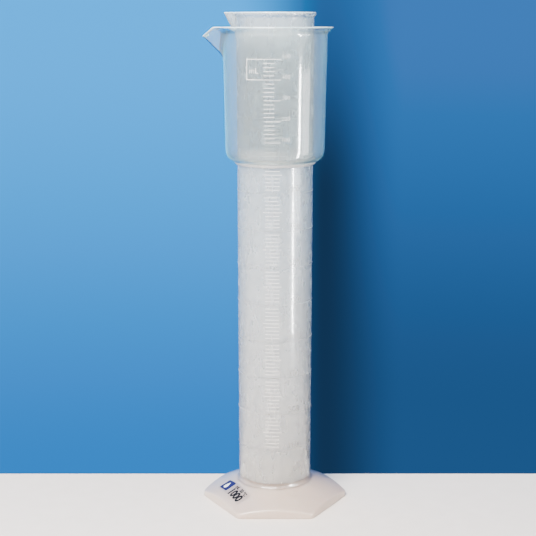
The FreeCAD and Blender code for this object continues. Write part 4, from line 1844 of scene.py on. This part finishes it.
def main() -> None:
    """Builds every sub-assembly, then the stage."""
    logging.basicConfig(level=logging.INFO, format="%(name)s: %(message)s")
    # The tube keeps the default warm end: its lower part turns warmer and darker, painted warm
    # shade towards the table.
    tube_finish = MilkyPlastic(
        "tube_polypropylene",
        colour=(0.78, 0.90, 0.96),
        clearness=0.7,
        haze=0.26,
        skin_roughness=0.06,
    ).build()
    # Painted bright edge: the rims take a milkier, cyan copy of the plastic so that they show as
    # bright lines.
    rim_highlight_finish = MilkyPlastic(
        "rim_painted_highlight",
        colour=(0.68, 0.93, 1.0),
        clearness=0.1,
        haze=0.3,
        glow=0.5,
        **STAYS_COOL,
    ).build()
    cup_finish = MilkyPlastic(
        "cup_polypropylene",
        colour=(0.93, 1.0, 0.98),
        clearness=0.93,
        haze=0.05,
        edge_bloom=0.35,
        skin_roughness=0.15,
        **STAYS_COOL,
    ).build()
    # Painted backdrop light: the spout's wall is a clearer, cyan-tinted copy of the cup's plastic,
    # for the blue backdrop seen through it.
    beak_finish = MilkyPlastic(
        "beak_painted_backdrop_light",
        colour=(0.72, 0.98, 1.0),
        clearness=0.985,
        haze=0.04,
        skin_gloss=0.4,
        **STAYS_COOL,
    ).build()
    foot_finish = MilkyPlastic(
        "foot_polypropylene",
        warm_colour=(0.86, 0.66, 0.55),
        clearness=0.4,
        skin_roughness=0.06,
        warm_from=0.06,
        warm_to=0.03,
        scuffs=0.08,
    ).build()
    weld_finish = MilkyPlastic(
        "weld_polypropylene", colour=(1.0, 0.97, 0.93), clearness=0.15, **STAYS_COOL
    ).build()
    tree = ScaleTree()
    # Painted highlights: the raised ticks are whiter and less clear than the wall, and like the
    # tube they turn warmer and darker low down, painted warm shade.
    tube_marks = MilkyPlastic(
        "tube_ridges_painted_highlight", colour=(1.0, 1.0, 1.0), clearness=0.0, glow=0.15, warm_from=0.25
    ).build()
    # Painted highlights, milder: the rings and the tube's numbers are whiter than the wall.
    ring_finish = MilkyPlastic(
        "ring_ridges_painted_highlight", colour=(0.92, 0.95, 0.96), clearness=0.5, warm_from=0.25
    ).build()
    # Painted highlights: the cup's raised marks, numbers, unit and frame are whiter and less clear
    # than its wall.
    cup_marks = MilkyPlastic(
        "cup_ridges_painted_highlight", colour=(1.0, 1.0, 1.0), clearness=0.1, haze=0.4, glow=0.3, **STAYS_COOL
    ).build()
    MeasuringTube(tube_finish, rim_highlight_finish, tube_marks, ring_finish).dress(tree)
    OverflowCup(cup_finish, beak_finish, rim_highlight_finish, cup_marks).dress(tree)
    foot = HexagonalFoot(foot_finish)
    foot.dress()
    WeldBead(
        "weld_above",
        "cup_weld_inside",
        weld_finish,
        wall_radius=33.45,
        height=312.25,
        leg=3.0,
        face_lift=0.55,
        seed=1.0,
    ).dress()
    WeldBead(
        "weld_below",
        "cup_weld_underside",
        weld_finish,
        wall_radius=33.45,
        height=311.0,
        leg=3.2,
        upwards=False,
        face_lift=0.3,
        seed=5.0,
    ).dress()
    WeldBead(
        "weld_foot",
        "foot_weld",
        foot_finish,
        wall_radius=32.72,
        height=19.8,
        leg=3.95,
        face_lift=-1.84,
        seed=9.0,
        fullness=-0.19,
    ).dress()
    film = MilkyPlastic(
        "label_clear_film",
        warm_colour=(0.86, 0.68, 0.58),
        clearness=0.0,
        warm_from=0.06,
        warm_to=0.03,
        scuffs=0.02,
    ).build()
    white = PrintedFilm("ink_white", (0.80, 0.79, 0.76), (0.70, 0.69, 0.66)).build()
    blue = PrintedFilm("ink_blue", (0.010, 0.009, 0.075), (0.03, 0.027, 0.11)).build()
    black = PrintedFilm("ink_black", (0.006, 0.005, 0.006), (0.02, 0.02, 0.02)).build()
    FootLabel(foot, film, blue, black, white).dress()
    Stage().build()


if __name__ == "__main__":
    main()
